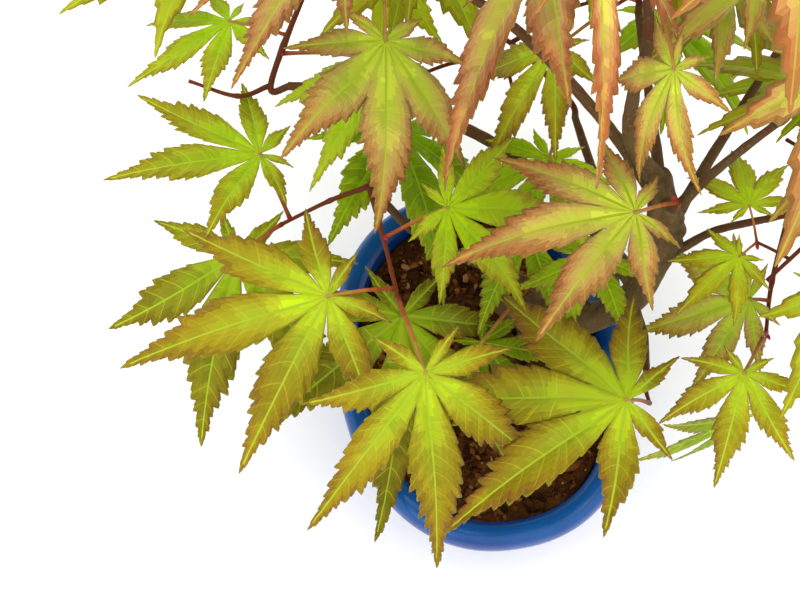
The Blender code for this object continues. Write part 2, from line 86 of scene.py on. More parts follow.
# Trunk: route and radius, from under the soil to the fork. The knob is an old healed cut.
TRUNK = (
    (24.0, 13.0, 38.0, 8.6),
    (28.0, 10.5, 47.0, 7.2),
    (33.0, 6.5, 57.0, 6.0),
    (42.0, 1.5, 72.0, 5.3),
    (51.0, -0.5, 88.0, 5.0),
    (57.0, 4.0, 103.0, 5.0),
    (60.0, 10.0, 116.0, 6.6),
    (58.0, 14.0, 127.0, 4.9),
    (55.0, 18.0, 138.0, 4.2),
)
LIMB_STEPS = 3
ROOT_BEARINGS = (25.0, 95.0, 152.0, 215.0, 300.0)
ROOT_REACHES = (11.0, 14.0, 20.0, 13.0, 12.0)

# Boughs: height of the foot on the trunk, the route from there, and the radii of foot and tip.
Bough = collections.namedtuple("Bough", "height route foot tip")
BOUGHS = {
    "left": Bough(64, ((24, 17, 68), (8, 26, 71), (-17, 36, 86), (-32, 40, 113)), 2.6, 1.4),
    "inner": Bough(72, ((34, 8, 75), (24, 12, 77)), 1.8, 1.1),
    "low_back": Bough(78, ((50, 30, 84), (46, 72, 93)), 2.4, 1.4),
    "front": Bough(86, ((51, -14, 88), (49, -27, 88)), 2.0, 1.3),
    "back_left": Bough(92, ((38, 30, 97), (10, 62, 103), (-30, 84, 109), (-56, 90, 111)), 2.8, 1.5),
    "low_right": Bough(104, ((66, 5, 110), (76, 6, 117), (92, 4, 124)), 1.7, 1.2),
    "back_right": Bough(113, ((82, 32, 130), (108, 58, 148)), 2.0, 1.3),
    "right": Bough(120, ((68, 14, 133), (76, 16, 144), (90, 20, 156)), 1.8, 1.3),
    "back": Bough(122, ((60, 40, 134), (61, 74, 149)), 2.1, 1.3),
    "upper_left": Bough(125, ((40, 34, 149), (14, 60, 170), (-17, 83, 181)), 2.1, 1.3),
    "middle": Bough(128, ((57, 5, 139), (55, 1, 149)), 1.9, 1.2),
    "leader": Bough(135, ((46, 24, 152), (44, 27, 172), (46, 31, 192), (46, 42, 208)), 2.6, 1.4),
}

# Leaf: seven lobes round the top of its stalk, the middle one along the leaf's own axis.
LOBE_ANGLES = np.radians((-132, -89, -44, 0, 44, 89, 132))
LOBE_REACHES = (0.29, 0.54, 0.84, 1.0, 0.84, 0.54, 0.29)
MIDDLE_LOBE = 3
NOTCH_REACH = 0.19
SHOULDER_REACH = 0.5
SHOULDER_HALF_WIDTH = 0.14
HEEL_REACH = 0.05
LAST_SHOULDERED = math.radians(100)
LEAST_FLAT = 0.2
STALK_SINK = 0.5

# A leaf: its centre, bearing from +X towards +Y, pitch, roll, length of the middle lobe, droop as a share of
# that length, spread of the lobes, bias of length towards the left lobes, and its autumn tint from 0 to 1.
Leaf = collections.namedtuple(
    "Leaf", "centre bearing pitch roll size droop spread bias tint", defaults=(None,)
)

# A mass of foliage: its bough, the twigs and leaves of its open side, and the heart, reach, count of
# shoots and seed that deal out the rest.
Mass = collections.namedtuple(
    "Mass", "bough twigs leaves heart reach shoots seed", defaults=((), (), None, None, 0, 0)
)
MASSES = {
    "left": Mass(
        "left",
        twigs=(((-33, 20, 120), (-32, -3, 121)), ((-48, 41, 112), (-65, 37, 108))),
        leaves=(
            Leaf((-29, -35, 135), -94, 43, -24, 67, 0.02, 1.00, -0.10, 0.45),
            Leaf((-54, 0, 124), -172, 3, -1, 70, 0.09, 1.05, 0.10, 0.46),
            Leaf((-12, 21, 132), -5, 13, 20, 49, 0.23, 1.04, -0.18, 0.12),
            Leaf((-69, 62, 114), -171, -13, 8, 54, 0.02, 1.08, -0.20, 0.30),
            Leaf((-82, 32, 99), -114, 25, 0, 69, 0.13, 1.12, 0.12, 0.34),
            Leaf((-29, 7, 85), -103, 14, -28, 78, 0.06, 1.04, 0.05, 0.34),
            Leaf((-20, 71, 104), -80, 3, -26, 66, 0.13, 1.00, 0.00, 0.0),
        ),
    ),
    "inner": Mass(
        "inner",
        leaves=(
            Leaf((19, 28, 97), -131, 20, 13, 42, 0.14, 1.00, 0.00, 0.0),
            Leaf((38, 10, 103), -129, 5, 9, 37, 0.12, 1.00, 0.00, 0.0),
            Leaf((-2, -2, 72), -60, 4, -8, 38, 0.12, 1.00, 0.00, 0.0),
        ),
    ),
    "low_back": Mass(
        "low_back",
        leaves=(Leaf((28, 44, 114), -125, 12, 6, 45, 0.15, 1.00, 0.00, 0.0),),
        heart=(20, 116, 96), reach=(68, 46, 26), shoots=4, seed=3,
    ),
    "front": Mass(
        "front",
        twigs=(((48, -33, 84), (46, -41, 92)),),
        leaves=(Leaf((33, -47, 116), 161, 14, 9, 83, 0.13, 0.98, 0.03, 0.49),),
    ),
    "back_left": Mass(
        "back_left",
        twigs=(((-74, 88, 112), (-90, 95, 115)),),
        leaves=(
            Leaf((-73, 119, 114), -157, 0, 15, 44, 0.12, 1.08, 0.05, 0.20),
            Leaf((-23, 78, 135), -137, 12, 21, 50, 0.14, 1.08, -0.15, 0.04),
        ),
        heart=(-30, 150, 120), reach=(58, 40, 32), shoots=4, seed=5,
    ),
    "low_right": Mass(
        "low_right",
        twigs=(((90, -14, 114), (86, -28, 106)),),
        leaves=(
            Leaf((82, -18, 112), 170, 34, -13, 45, 0.19, 0.95, 0.00, 0.56),
            Leaf((70, -46, 121), -116, 14, 0, 37, 0.12, 1.00, 0.00, 0.47),
            Leaf((73, -52, 95), -164, 14, -86, 41, 0.12, 1.00, 0.00, 0.10),
        ),
        heart=(122, -4, 126), reach=(50, 48, 28), shoots=4, seed=6,
    ),
    "back_right": Mass("back_right", heart=(122, 92, 152), reach=(54, 48, 34), shoots=4, seed=7),
    "right": Mass("right", heart=(110, 38, 186), reach=(54, 52, 36), shoots=4, seed=8),
    "back": Mass(
        "back",
        leaves=(
            Leaf((33, 69, 142), -149, 40, 23, 49, 0.17, 1.05, -0.10, 0.49),
        ),
        heart=(50, 126, 150), reach=(62, 48, 34), shoots=4, seed=9,
    ),
    "upper_left": Mass(
        "upper_left",
        leaves=(
            Leaf((-24, 68, 160), -97, 19, -27, 61, 0.21, 0.93, 0.00, 0.53),
            Leaf((-33, 95, 189), -135, 3, 25, 64, 0.16, 0.90, -0.20, 0.58),
        ),
        heart=(-22, 128, 192), reach=(60, 44, 34), shoots=4, seed=10,
    ),
    "middle": Mass("middle", leaves=(Leaf((40, -3, 156), 179, 0, 6, 60, 0.21, 0.97, 0.00, 0.63),)),
    "top": Mass(
        "leader",
        leaves=(
            Leaf((22, 62, 209), -134, 19, 45, 78, 0.16, 1.00, 0.00, 0.66),
            Leaf((21, 33, 256), -84, 31, -38, 72, 0.18, 1.00, 0.00, 0.84),
            Leaf((45, 10, 210), -144, 59, 28, 41, 0.26, 1.09, 0.00, 0.66),
        ),
        heart=(45, 88, 240), reach=(74, 56, 40), shoots=5, seed=12,
    ),
}
# Lobes chosen to differ from the usual form, counted from the right: shares of the usual length
# and width.
LOBE_SHARES = {
    ("top", 0): {2: (0.55, 1.0)},
    ("top", 1): {2: (0.6, 0.8), 3: (1.0, 0.62), 4: (1.0, 0.7)},
    ("upper_left", 0): {2: (1.0, 1.1), 3: (1.0, 1.1), 4: (1.0, 1.1)},
}
JOINT_LENGTH = 6.0
STEM_ARCH = 4.0
STEM_RADII = (1.3, 0.9)
TWIG_RADII = (1.0, 0.6)
STALK_RADII = (0.75, 0.6)

# The ranges that shoots and their leaves are dealt from.
GOLDEN_TURN = math.radians(137.5)
SHOOT_RISE = (-0.5, 0.75)
SHOOT_REACH = 0.8
SHOOT_ARCH = (2, 9)
LEAF_AHEAD = (0.3, 0.9)
LEAF_ASIDE = (0.8, 1.1)
LEAF_LIFT = (-0.15, 0.35)
STALK_LENGTH = (18, 30)
BEARING_SCATTER = (-15, 15)
PITCH_RANGE = (5, 32)
ROLL_RANGE = (-22, 22)
SIZE_RANGE = (48, 64)
DROOP_RANGE = (0.08, 0.24)
SPREAD_RANGE = (0.95, 1.08)
BIAS_RANGE = (-0.12, 0.12)
TRIES = 3
TRY_LIFT = 7.0

# Sprigs: short side shoots of young leaves, which fill the crown within the reach of its masses.
SPRIG_SEED = 41
SPRIG_SIZE = (20, 34)
SPRIG_STALK = (9, 16)
SPRIG_TWIG = (7, 13)
SPRIG_AHEAD = (0.2, 0.8)
SPRIG_LIFT = (0.1, 0.6)
SPRIG_FOOT = (0.35, 0.7)

# What a dealt leaf keeps clear of: the pot below, its neighbours, and the crown's open face, which is
# settled leaf by leaf. The face is bounded by two planes, each a normal and a distance.
LOWEST_DEALT = 58.0
CLEAR_THICKNESS = 5.0
CLEAR_GROWTH = 1.04
OPEN_PLANES = (((0.946, -0.254, 0.202), 90.4), ((0.130, 0.778, 0.614), 160.5))
OPEN_SLACK = 22.0

# Blade of a leaf, as shares of a lobe's length: half-width and depth of the teeth along the lobe.
LOBE_WIDTHS = (
    (0, 0), (0.09, 0.042), (0.18, 0.073), (0.27, 0.102), (0.36, 0.126), (0.46, 0.137), (0.56, 0.127),
    (0.65, 0.099), (0.74, 0.065), (0.82, 0.042), (0.9, 0.026), (0.96, 0.014), (1, 0),
)
TOOTH_DEPTHS = (
    (0, 0), (0.2, 0), (0.3, 0.009), (0.45, 0.018), (0.58, 0.029), (0.7, 0.030), (0.8, 0.019), (0.9, 0.011),
    (1, 0),
)
TABLE_STEPS = 12
# Rows near the centre, where neighbouring lobes touch: their step as a share of the leaf's size.
BASE_STEP = 0.022
BASE_ROWS = 14
HEEL_GAP = math.radians(24)

# One tooth along the margin: how far through it each row lies, how far the margin stands out there, and the
# row that the side vein follows.
TOOTH_PHASES = np.array((0.0, 0.2, 0.38, 0.46, 0.62, 0.68, 0.86, 0.95))
TOOTH_SHAPE = np.array((0.0, 0.36, 0.62, 0.44, 0.80, 0.87, 1.0, 0.46))
VEINLET_PHASE = 4
COARSE_PHASES = np.array((0.0, 0.4, 0.8, 0.9))
COARSE_SHAPE = np.array((0.0, 0.55, 1.0, 0.4))
# Columns of the grid from the margin in, as shares of the half-width.
FINE_COLUMNS = (1.0, 0.86, 0.68, 0.48, 0.28)
COARSE_COLUMNS = (1.0, 0.72, 0.4)
UNDER_COLUMNS = (1.0, 0.5)
# Teeth on each side of the longest lobe, the share of them that even the shortest would keep, and the fewest.
FINE_TEETH = 11
COARSE_TEETH = 7
TEETH_KEPT = 0.25
LEAST_TEETH = 3
# How teeth crowd towards the tip, stray from even places, differ in depth, sink into the plain margin and
# point forwards, the last four as shares of a tooth.
TOOTH_CROWDING = 1.28
TOOTH_SCATTER = 0.22
TOOTH_VIGOUR = (0.55, 1.45)
TOOTH_SUNK = 0.42
TOOTH_FORWARD = 0.5
# Side veins: the share of the lobe over which they come to slant, and how the two sides differ.
SLANT_RUN = 0.32
SLANT_DIFFERENCE = 0.16

# What each lobe is dealt: sideways bend and curl of the tip as shares of its length, and the fold of its
# two sides as a share of its half-width.
BEND_RANGE = (-0.1, 0.1)
CURL_RANGE = (-0.02, 0.07)
FOLD_RANGE = (0.0, 0.16)
# Relief of a leaf of full size: the dip along the midrib, its half-width, the belly of each half as a share
# of its width, and a ripple that grows towards the margin. It comes in over the first share of the leaf's
# size. Lobes read the ripple's noise this far apart for each radian between them.
FULL_SIZE = 60
DIP_DEPTH = 0.34
DIP_WIDTH = 1.1
BELLY = 0.09
RIPPLE = 0.5
RIPPLE_SIZE = 7.0
RIPPLE_STRIDE = 31
RELIEF_START = 0.2
# Where between two side veins the blade swells most, and the power by which a row bends forwards.
SWELL_PHASE = 0.65
COLUMN_LEAN = 1.3
# Midrib: its share of the given width at the foot, what it loses by the tip, and the most of a half it takes.
RIB_FOOT = 1.1
RIB_TAPER = 0.65
RIB_LIMIT = 0.3
# Underside, as shares of half the thickness: its depth at the margin, the ridge under the midrib and that
# ridge's reach along the lobe. The two sides come together over the first and the last share of the lobe.
UNDER_DEPTH = 0.8
UNDER_RIDGE = 1.1
RIDGE_REACH = 1.1
CLOSING = 0.06
TIP_REACH = 1.02


# Shapes in numbers


def smooth(points, steps):
    """A Catmull-Rom curve: between two points, a cubic whose slopes are half the steps between the points
    on either side."""
    p = np.array(points, float)
    p = np.vstack([2 * p[0] - p[1], p, 2 * p[-1] - p[-2]])
    t = np.linspace(0, 1, steps, endpoint=False)[:, None]
    runs = [
        b + (c - a) / 2 * t + (a - 2.5 * b + 2 * c - d / 2) * t**2 + (1.5 * (b - c) + (d - a) / 2) * t**3
        for a, b, c, d in zip(p, p[1:], p[2:], p[3:])
    ]
    return np.vstack([*runs, p[-2]])


def unit(vector):
    """The vector at length 1."""
    return np.asarray(vector, float) / np.linalg.norm(vector)


def ease(value, start, end):
    """Rises smoothly from 0 at the start to 1 at the end."""
    t = np.clip((np.asarray(value, float) - start) / (end - start), 0, 1)
    return t * t * (3 - 2 * t)


def curve_table(table):
    """A function that reads a smooth curve through the rows of a table."""
    dense = smooth(table, TABLE_STEPS)
    return lambda t: np.interp(t, dense[:, 0], np.maximum(dense[:, 1], 0))


lobe_width = curve_table(LOBE_WIDTHS)
tooth_depth = curve_table(TOOTH_DEPTHS)


# Large odd numbers that mix a lattice corner's place and a seed into a hash.
HASH_PLACES = np.array((374761393, 668265263, 2147483647))
HASH_SEED = 974634777
HASH_MIX = 1274126177


def noise(points, size, seed=0):
    """Smooth noise from -1 to 1: the corners of a lattice of this size hold hashed numbers, which are blended
    across each cell."""
    places = np.asarray(points, float) / size
    cell = np.floor(places).astype(np.int64)
    part = places - cell
    part = part * part * (3 - 2 * part)
    total = np.zeros(places.shape[:-1])
    for corner in itertools.product((0, 1), repeat=3):
        mixed = ((cell + corner) * HASH_PLACES).sum(axis=-1) + seed * HASH_SEED
        mixed = (mixed ^ (mixed >> 13)) * HASH_MIX & 0xFFFFFFFF
        mixed = (mixed ^ (mixed >> 16)) & 0xFFFF
        share = np.prod(np.where(corner, part, 1 - part), axis=-1)
        total += share * (mixed / (0xFFFF / 2) - 1)
    return total



class Surfaces:
    """Points and faces of many surfaces, gathered into one mesh. A triangle's fourth corner is -1."""

    def __init__(self):
        self.points, self.faces, self.slots, self.youth, self.count = [], [], [], [], 0

    def add(self, points, faces, slots=0, youth=0.0):
        points, faces = np.asarray(points, float), np.asarray(faces, np.int64)
        self.faces.append(np.where(faces < 0, -1, faces + self.count))
        self.points.append(points)
        self.slots.append(np.broadcast_to(slots, len(faces)))
        self.youth.append(np.broadcast_to(youth, len(points)))
        self.count += len(points)

    def build(self, name, materials, with_youth=False):
        """Makes the mesh object, smooth-shaded, from points in millimetres, with its place in its mesh."""
        points, faces = np.concatenate(self.points), np.concatenate(self.faces)
        sizes = (faces >= 0).sum(axis=1)
        mesh = bpy.data.meshes.new(name)
        mesh.vertices.add(len(points))
        mesh.vertices.foreach_set("co", (points * MM).astype(np.float32).ravel())
        mesh.loops.add(int(sizes.sum()))
        mesh.loops.foreach_set("vertex_index", faces[faces >= 0].astype(np.int32))
        mesh.polygons.add(len(faces))
        mesh.polygons.foreach_set("loop_start", np.concatenate([[0], np.cumsum(sizes)[:-1]]).astype(np.int32))
        mesh.polygons.foreach_set("material_index", np.concatenate(self.slots).astype(np.int32))
        mesh.polygons.foreach_set("use_smooth", np.ones(len(faces), bool))
        for material in materials:
            mesh.materials.append(material)
        mesh.update(calc_edges=True)
        if with_youth:
            layer = mesh.attributes.new("youth", "FLOAT", "POINT")
            layer.data.foreach_set("value", np.concatenate(self.youth).astype(np.float32))
        obj = bpy.data.objects.new(name, mesh)
        bpy.context.scene.collection.objects.link(obj)
        return obj


def grid_faces(rows, columns, wrap=False):
    """Quads between neighbouring points of a grid, whose last column may join the first."""
    index = np.arange(rows * columns).reshape(rows, columns)
    if wrap:
        index = np.hstack([index, index[:, :1]])
    corners = (index[:-1, :-1], index[:-1, 1:], index[1:, 1:], index[1:, :-1])
    return np.stack([corner.ravel() for corner in corners], axis=1)


def closed_rings(rings):
    """A closed skin over rings of points (rings, round, 3), which run anticlockwise and upwards, with a pole
    at each end."""
    rows, columns = rings.shape[:2]
    points = np.vstack([rings.reshape(-1, 3), rings[0].mean(axis=0), rings[-1].mean(axis=0)])
    low, high = len(points) - 2, len(points) - 1
    here = np.arange(columns)
    after = (here + 1) % columns
    top = (rows - 1) * columns
    none = np.full(columns, -1)
    ends = [np.column_stack([np.full(columns, low), after, here, none])]
    ends.append(np.column_stack([np.full(columns, high), top + here, top + after, none]))
    return points, np.vstack([grid_faces(rows, columns, wrap=True), *ends])


def tube_rings(route, radii, sides):
    """Circles square to a route: its point, plus the radius times the cosine and sine of two crosswise axes.
    Gives them and the directions in which they stand out."""
    ahead = np.gradient(route, axis=0)
    ahead /= np.linalg.norm(ahead, axis=1, keepdims=True)
    lean = np.abs(ahead).mean(axis=0)
    guide = np.eye(3)[int(np.argmin(lean))]
    across = np.cross(guide, ahead)
    across /= np.linalg.norm(across, axis=1, keepdims=True)
    other = np.cross(ahead, across)
    turn = np.linspace(0, 2 * math.pi, sides, endpoint=False)
    out = across[:, None] * np.cos(turn)[:, None] + other[:, None] * np.sin(turn)[:, None]
    return route[:, None] + out * np.reshape(radii, (-1, 1, 1)), out


# Leaves, as their solids have them


def leaf_axes(leaf):
    """The leaf's own axes: along its middle lobe, to its left, and up from its face."""
    bearing, pitch, roll = np.radians((leaf.bearing, leaf.pitch, leaf.roll))
    ahead = (math.cos(bearing) * math.cos(pitch), math.sin(bearing) * math.cos(pitch), -math.sin(pitch))
    level = np.array([-math.sin(bearing), math.cos(bearing), 0.0])
    left = math.cos(roll) * level + math.sin(roll) * np.cross(ahead, level)
    return np.array(ahead), left, np.cross(ahead, left)


def leaf_places(leaf, reach, angle):
    """World points at these distances and angles from the leaf's centre, on its drooping blade."""
    reach = np.asarray(reach, float)
    drop = leaf.droop * reach**2 / leaf.size
    flat = reach * np.sqrt(np.maximum(1 - (drop / np.maximum(reach, TINY)) ** 2, LEAST_FLAT))
    ahead, left, up = leaf_axes(leaf)
    across = np.outer(flat * np.cos(angle), ahead) + np.outer(flat * np.sin(angle), left)
    return np.array(leaf.centre) + across - np.outer(drop, up)


def lobe(leaf, index):
    """A lobe's angle and length."""
    side = np.sign(index - MIDDLE_LOBE) * min(abs(index - MIDDLE_LOBE), 2) / 2
    return LOBE_ANGLES[index] * leaf.spread, LOBE_REACHES[index] * leaf.size * (1 + leaf.bias * side)


def leaf_outline(leaf):
    """Heel, then shoulder, tip and shoulder of each lobe, with a notch between lobes."""
    reach, angle = [HEEL_REACH * leaf.size], [-math.pi]
    lobes = [lobe(leaf, index) for index in range(len(LOBE_REACHES))]
    for (turn, length), following in zip(lobes, [*lobes[1:], None]):
        half = math.atan2(SHOULDER_HALF_WIDTH, SHOULDER_REACH)
        shoulder = length * math.hypot(SHOULDER_HALF_WIDTH, SHOULDER_REACH)
        if abs(turn) < LAST_SHOULDERED * leaf.spread:
            reach += [shoulder, length, shoulder]
            angle += [turn - half, turn, turn + half]
        else:
            reach.append(length)
            angle.append(turn)
        if following:
            reach.append(NOTCH_REACH * (length + following[1]) / 2)
            angle.append((turn + following[0]) / 2)
    return leaf_places(leaf, reach, np.array(angle))


def leaf_shell(leaf, thickness):
    """Points and faces of the plain blade: two fans over its outline, which lie apart by the thickness at
    the centre."""
    edge = leaf_outline(leaf)
    up = leaf_axes(leaf)[2] * thickness / 2
    points = np.vstack([edge, leaf.centre + up, leaf.centre - up])
    count = len(edge)
    faces = [(i, (i + 1) % count, count) for i in range(count)]
    faces += [((i + 1) % count, i, count + 1) for i in range(count)]
    return points, faces


def leaf_tree(leaf):
    """A slightly larger and thicker shell, which keeps leaves clear of what they are tested against."""
    points, faces = leaf_shell(leaf._replace(size=leaf.size * CLEAR_GROWTH), CLEAR_THICKNESS)
    return BVHTree.FromPolygons(points.tolist(), faces)


# Growth of the crown, by the rule of its solids


# The rise of a direction past which it counts as upright.
STEEP = 0.9


def trunk_point(height):
    """The trunk's axis at a height."""
    route = smooth(TRUNK, LIMB_STEPS)
    return np.array([np.interp(height, route[:, 2], route[:, axis]) for axis in (0, 1, 2)])


def bough_route(bough):
    """The bough's axis, from the trunk's."""
    return smooth([trunk_point(bough.height), *bough.route], LIMB_STEPS)


def rod_tree(points, radius):
    """A square tube round each stretch of a route, for clearance tests."""
    places, faces = [], []
    for start, end in zip(points, points[1:]):
        axis = unit(end - start)
        across = unit(np.cross(axis, (1, 0, 0) if abs(axis[2]) > STEEP else (0, 0, 1)))
        other = np.cross(axis, across)
        first = len(places)
        for foot in (start, end):
            places += [foot + radius * side for side in (across, other, -across, -other)]
        faces += [(first + i, first + (i + 1) % 4, first + 4 + (i + 1) % 4, first + 4 + i) for i in range(4)]
    return BVHTree.FromPolygons([tuple(place) for place in places], faces)


def nearest_on(routes, place):
    """The point nearest to a place on any of the routes, of which the first may be one point."""
    best = routes[0][0]
    for route in routes:
        for start, end in zip(route, route[1:]):
            along = np.clip(np.dot(place - start, end - start) / np.dot(end - start, end - start), 0, 1)
            found = start + along * (end - start)
            if np.linalg.norm(place - found) < np.linalg.norm(place - best):
                best = found
    return best


def stem_route(mass):
    """The mass's stem: clear of its bough's tip, then on towards its heart."""
    route = bough_route(BOUGHS[mass.bough])
    ahead = unit(route[-1] - route[-2])
    points = [route[-1] + ahead * GAP, route[-1] + ahead * JOINT_LENGTH]
    if mass.heart:
        points += [(points[1] + mass.heart) / 2 + (0, 0, STEM_ARCH), np.array(mass.heart, float)]
    return np.array(points)


def behind_open_face(points):
    """Whether every point lies behind one or the other of the planes that bound the open face."""
    right, top = [points @ np.array(normal) > distance - OPEN_SLACK for normal, distance in OPEN_PLANES]
    return bool((right | top).all())


Growth = collections.namedtuple("Growth", "stem twigs stalks leaves")


def meets(shell, others):
    """Whether the shell overlaps any of the others."""
    return any(shell.overlap(other) for other in others)


def stalk_route(foot, leaf):
    """A leaf stalk, which ends just inside the blade's centre."""
    return np.array([foot, leaf.centre + leaf_axes(leaf)[0] * STALK_SINK])


def deal_pair(dice, out, node, lengths=STALK_LENGTH, sizes=SIZE_RANGE):
    """Two leaves that spread to the two sides of a shoot."""
    side = unit(np.cross(out, (0, 0, 1)))
    pair = []
    for hand in (-1, 1):
        ahead = out * dice.uniform(*LEAF_AHEAD) + side * hand * dice.uniform(*LEAF_ASIDE)
        ahead = unit(ahead + (0, 0, dice.uniform(*LEAF_LIFT)))
        centre = node + ahead * dice.uniform(*lengths)
        bearing = math.degrees(math.atan2(ahead[1], ahead[0])) + dice.uniform(*BEARING_SCATTER)
        ranges = (PITCH_RANGE, ROLL_RANGE, sizes, DROOP_RANGE, SPREAD_RANGE, BIAS_RANGE)
        pair.append(Leaf(tuple(centre), bearing, *[dice.uniform(*limits) for limits in ranges]))
    return pair


class Crown:
    """The stem, twigs, stalks and leaves of each mass, with shells that keep the masses apart."""

    def __init__(self):
        self.limbs = [rod_tree(smooth(TRUNK, LIMB_STEPS)[:, :3], max(row[3] for row in TRUNK))]
        self.limbs += [rod_tree(bough_route(bough), bough.foot + GAP) for bough in BOUGHS.values()]
        self.growths = {}
        self.wood = []
        self.blades = []
        for name, mass in MASSES.items():
            self.settle(name, mass)
        dealt = {name: self.deal(name, mass) for name, mass in MASSES.items() if mass.heart}
        for name, routes in dealt.items():
            self.sprout(name, routes)

    def other_wood(self, name):
        """Shells of the twigs and stalks that belong to other masses."""
        return [shell for owner, shell in self.wood if owner != name]

    def settle(self, name, mass):
        """Adds the stem, and the twigs and leaves of the open side."""
        stem = stem_route(mass)
        twigs = [np.array([stem[1], *route], float) for route in mass.twigs]
        stalks = [stalk_route(nearest_on([stem[1:], *twigs], leaf.centre), leaf) for leaf in mass.leaves]
        self.growths[name] = Growth(stem, twigs, stalks, list(mass.leaves))
        self.wood += [(name, rod_tree(route, STEM_RADII[0] + GAP)) for route in (stem, *twigs, *stalks)]
        self.blades += [leaf_tree(leaf) for leaf in mass.leaves]

    def deal(self, name, mass):
        """Shoots turn by the golden angle round the stem, with a pair of leaves at each node."""
        dice = random.Random(mass.seed)
        turn = dice.uniform(0, 2 * math.pi)
        stem = self.growths[name].stem
        routes = []
        for shoot in range(mass.shoots):
            turn += GOLDEN_TURN
            rise = dice.uniform(*SHOOT_RISE)
            out = np.array([math.cos(turn) * math.cos(rise), math.sin(turn) * math.cos(rise), math.sin(rise)])
            start = stem[2] + (stem[3] - stem[2]) * (shoot + 0.5) / mass.shoots
            end = stem[3] + np.array(mass.reach) * out * SHOOT_REACH
            middle = (start + end) / 2 + (0, 0, dice.uniform(*SHOOT_ARCH))
            pairs = [deal_pair(dice, out, node) for node in (middle, end)]
            route = np.array([start, middle, end])
            shell = rod_tree(route, TWIG_RADII[0] + 2 * GAP)
            if meets(shell, self.limbs + self.blades + self.other_wood(name)):
                continue
            self.growths[name].twigs.append(route)
            self.wood.append((name, shell))
            routes.append(route)
            for node, pair in zip((middle, end), pairs):
                for leaf in pair:
                    self.place(name, node, leaf)
        return routes

    def place(self, name, node, leaf):
        """Adds the leaf where it is free, lifted a little if it must be, or leaves it out."""
        for attempt in range(TRIES):
            raised = leaf._replace(centre=tuple(np.add(leaf.centre, (0, 0, attempt * TRY_LIFT))))
            edge = leaf_outline(raised)
            if edge[:, 2].min() < LOWEST_DEALT or not behind_open_face(edge):
                continue
            blade = leaf_tree(raised)
            route = stalk_route(node, raised)
            stalk = rod_tree(route, STALK_RADII[0] + GAP)
            if meets(blade, self.limbs + self.blades + [shell for _, shell in self.wood]):
                continue
            if meets(stalk, self.limbs + self.blades + self.other_wood(name)):
                continue
            self.growths[name].leaves.append(raised)
            self.growths[name].stalks.append(route)
            self.blades.append(blade)
            self.wood.append((name, stalk))
            return

    def sprout(self, name, routes):
        """Short sprigs of young leaves from the shoots, within the reach of the mass."""
        dice = random.Random(SPRIG_SEED + len(name))
        low, high = (np.array(corner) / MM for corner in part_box("foliage_" + name))
        for route in routes:
            for start, end in zip(route, route[1:]):
                along = unit(end - start)
                hand = dice.choice((-1, 1))
                side = unit(np.cross(along, (0, 0, 1))) * hand
                out = unit(side + along * dice.uniform(*SPRIG_AHEAD) + (0, 0, dice.uniform(*SPRIG_LIFT)))
                foot = start + (end - start) * dice.uniform(*SPRIG_FOOT)
                tip = foot + out * dice.uniform(*SPRIG_TWIG)
                pair = deal_pair(dice, out, tip, SPRIG_STALK, SPRIG_SIZE)
                shell = rod_tree(np.array([foot, tip]), STALK_RADII[0])
                if meets(shell, self.limbs + self.blades + self.other_wood(name)):
                    continue
                before = len(self.growths[name].leaves)
                for leaf in pair:
                    edge = leaf_outline(leaf)
                    if (edge > low).all() and (edge < high - (0, 0, TRIES * TRY_LIFT)).all():
                        self.place(name, tip, leaf)
                if len(self.growths[name].leaves) > before:
                    self.growths[name].twigs.append(np.array([foot, tip]))
                    self.wood.append((name, shell))


# The finished blade


def lobe_seams(leaf, shares):
    """For each lobe, its angle, length, share of the usual width, and half the angles to its right and left
    neighbours."""
    lobes = []
    for index in range(len(LOBE_REACHES)):
        turn, length = lobe(leaf, index)
        long, wide = shares.get(index, (1.0, 1.0))
        lobes.append((turn, length * long, wide))
    half_gaps = [HEEL_GAP, *[(b[0] - a[0]) / 2 for a, b in zip(lobes, lobes[1:])], HEEL_GAP]
    return [(*lobes[i], half_gaps[i], half_gaps[i + 1]) for i in range(len(lobes))]


def seam_rows(length, wide, size, half_gap):
    """How many of the base rows still touch the line halfway to the neighbouring lobe."""
    along = BASE_STEP * size * np.arange(1, BASE_ROWS + 1)
    touching = along * math.tan(half_gap) < lobe_width(along / length) * length * wide
    return max(1, int(np.argmin(touching)) if not touching.all() else BASE_ROWS)


Texture = collections.namedtuple("Texture", "phases shape veinlet columns teeth")
FINE = Texture(TOOTH_PHASES, TOOTH_SHAPE, VEINLET_PHASE, FINE_COLUMNS, FINE_TEETH)
COARSE = Texture(COARSE_PHASES, COARSE_SHAPE, None, COARSE_COLUMNS, COARSE_TEETH)
Looks = collections.namedtuple("Looks", "midrib quilting thickness")
Form = collections.namedtuple("Form", "bend curl fold offset wide")
Patch = collections.namedtuple("Patch", "t middle sides veinlets phase base")


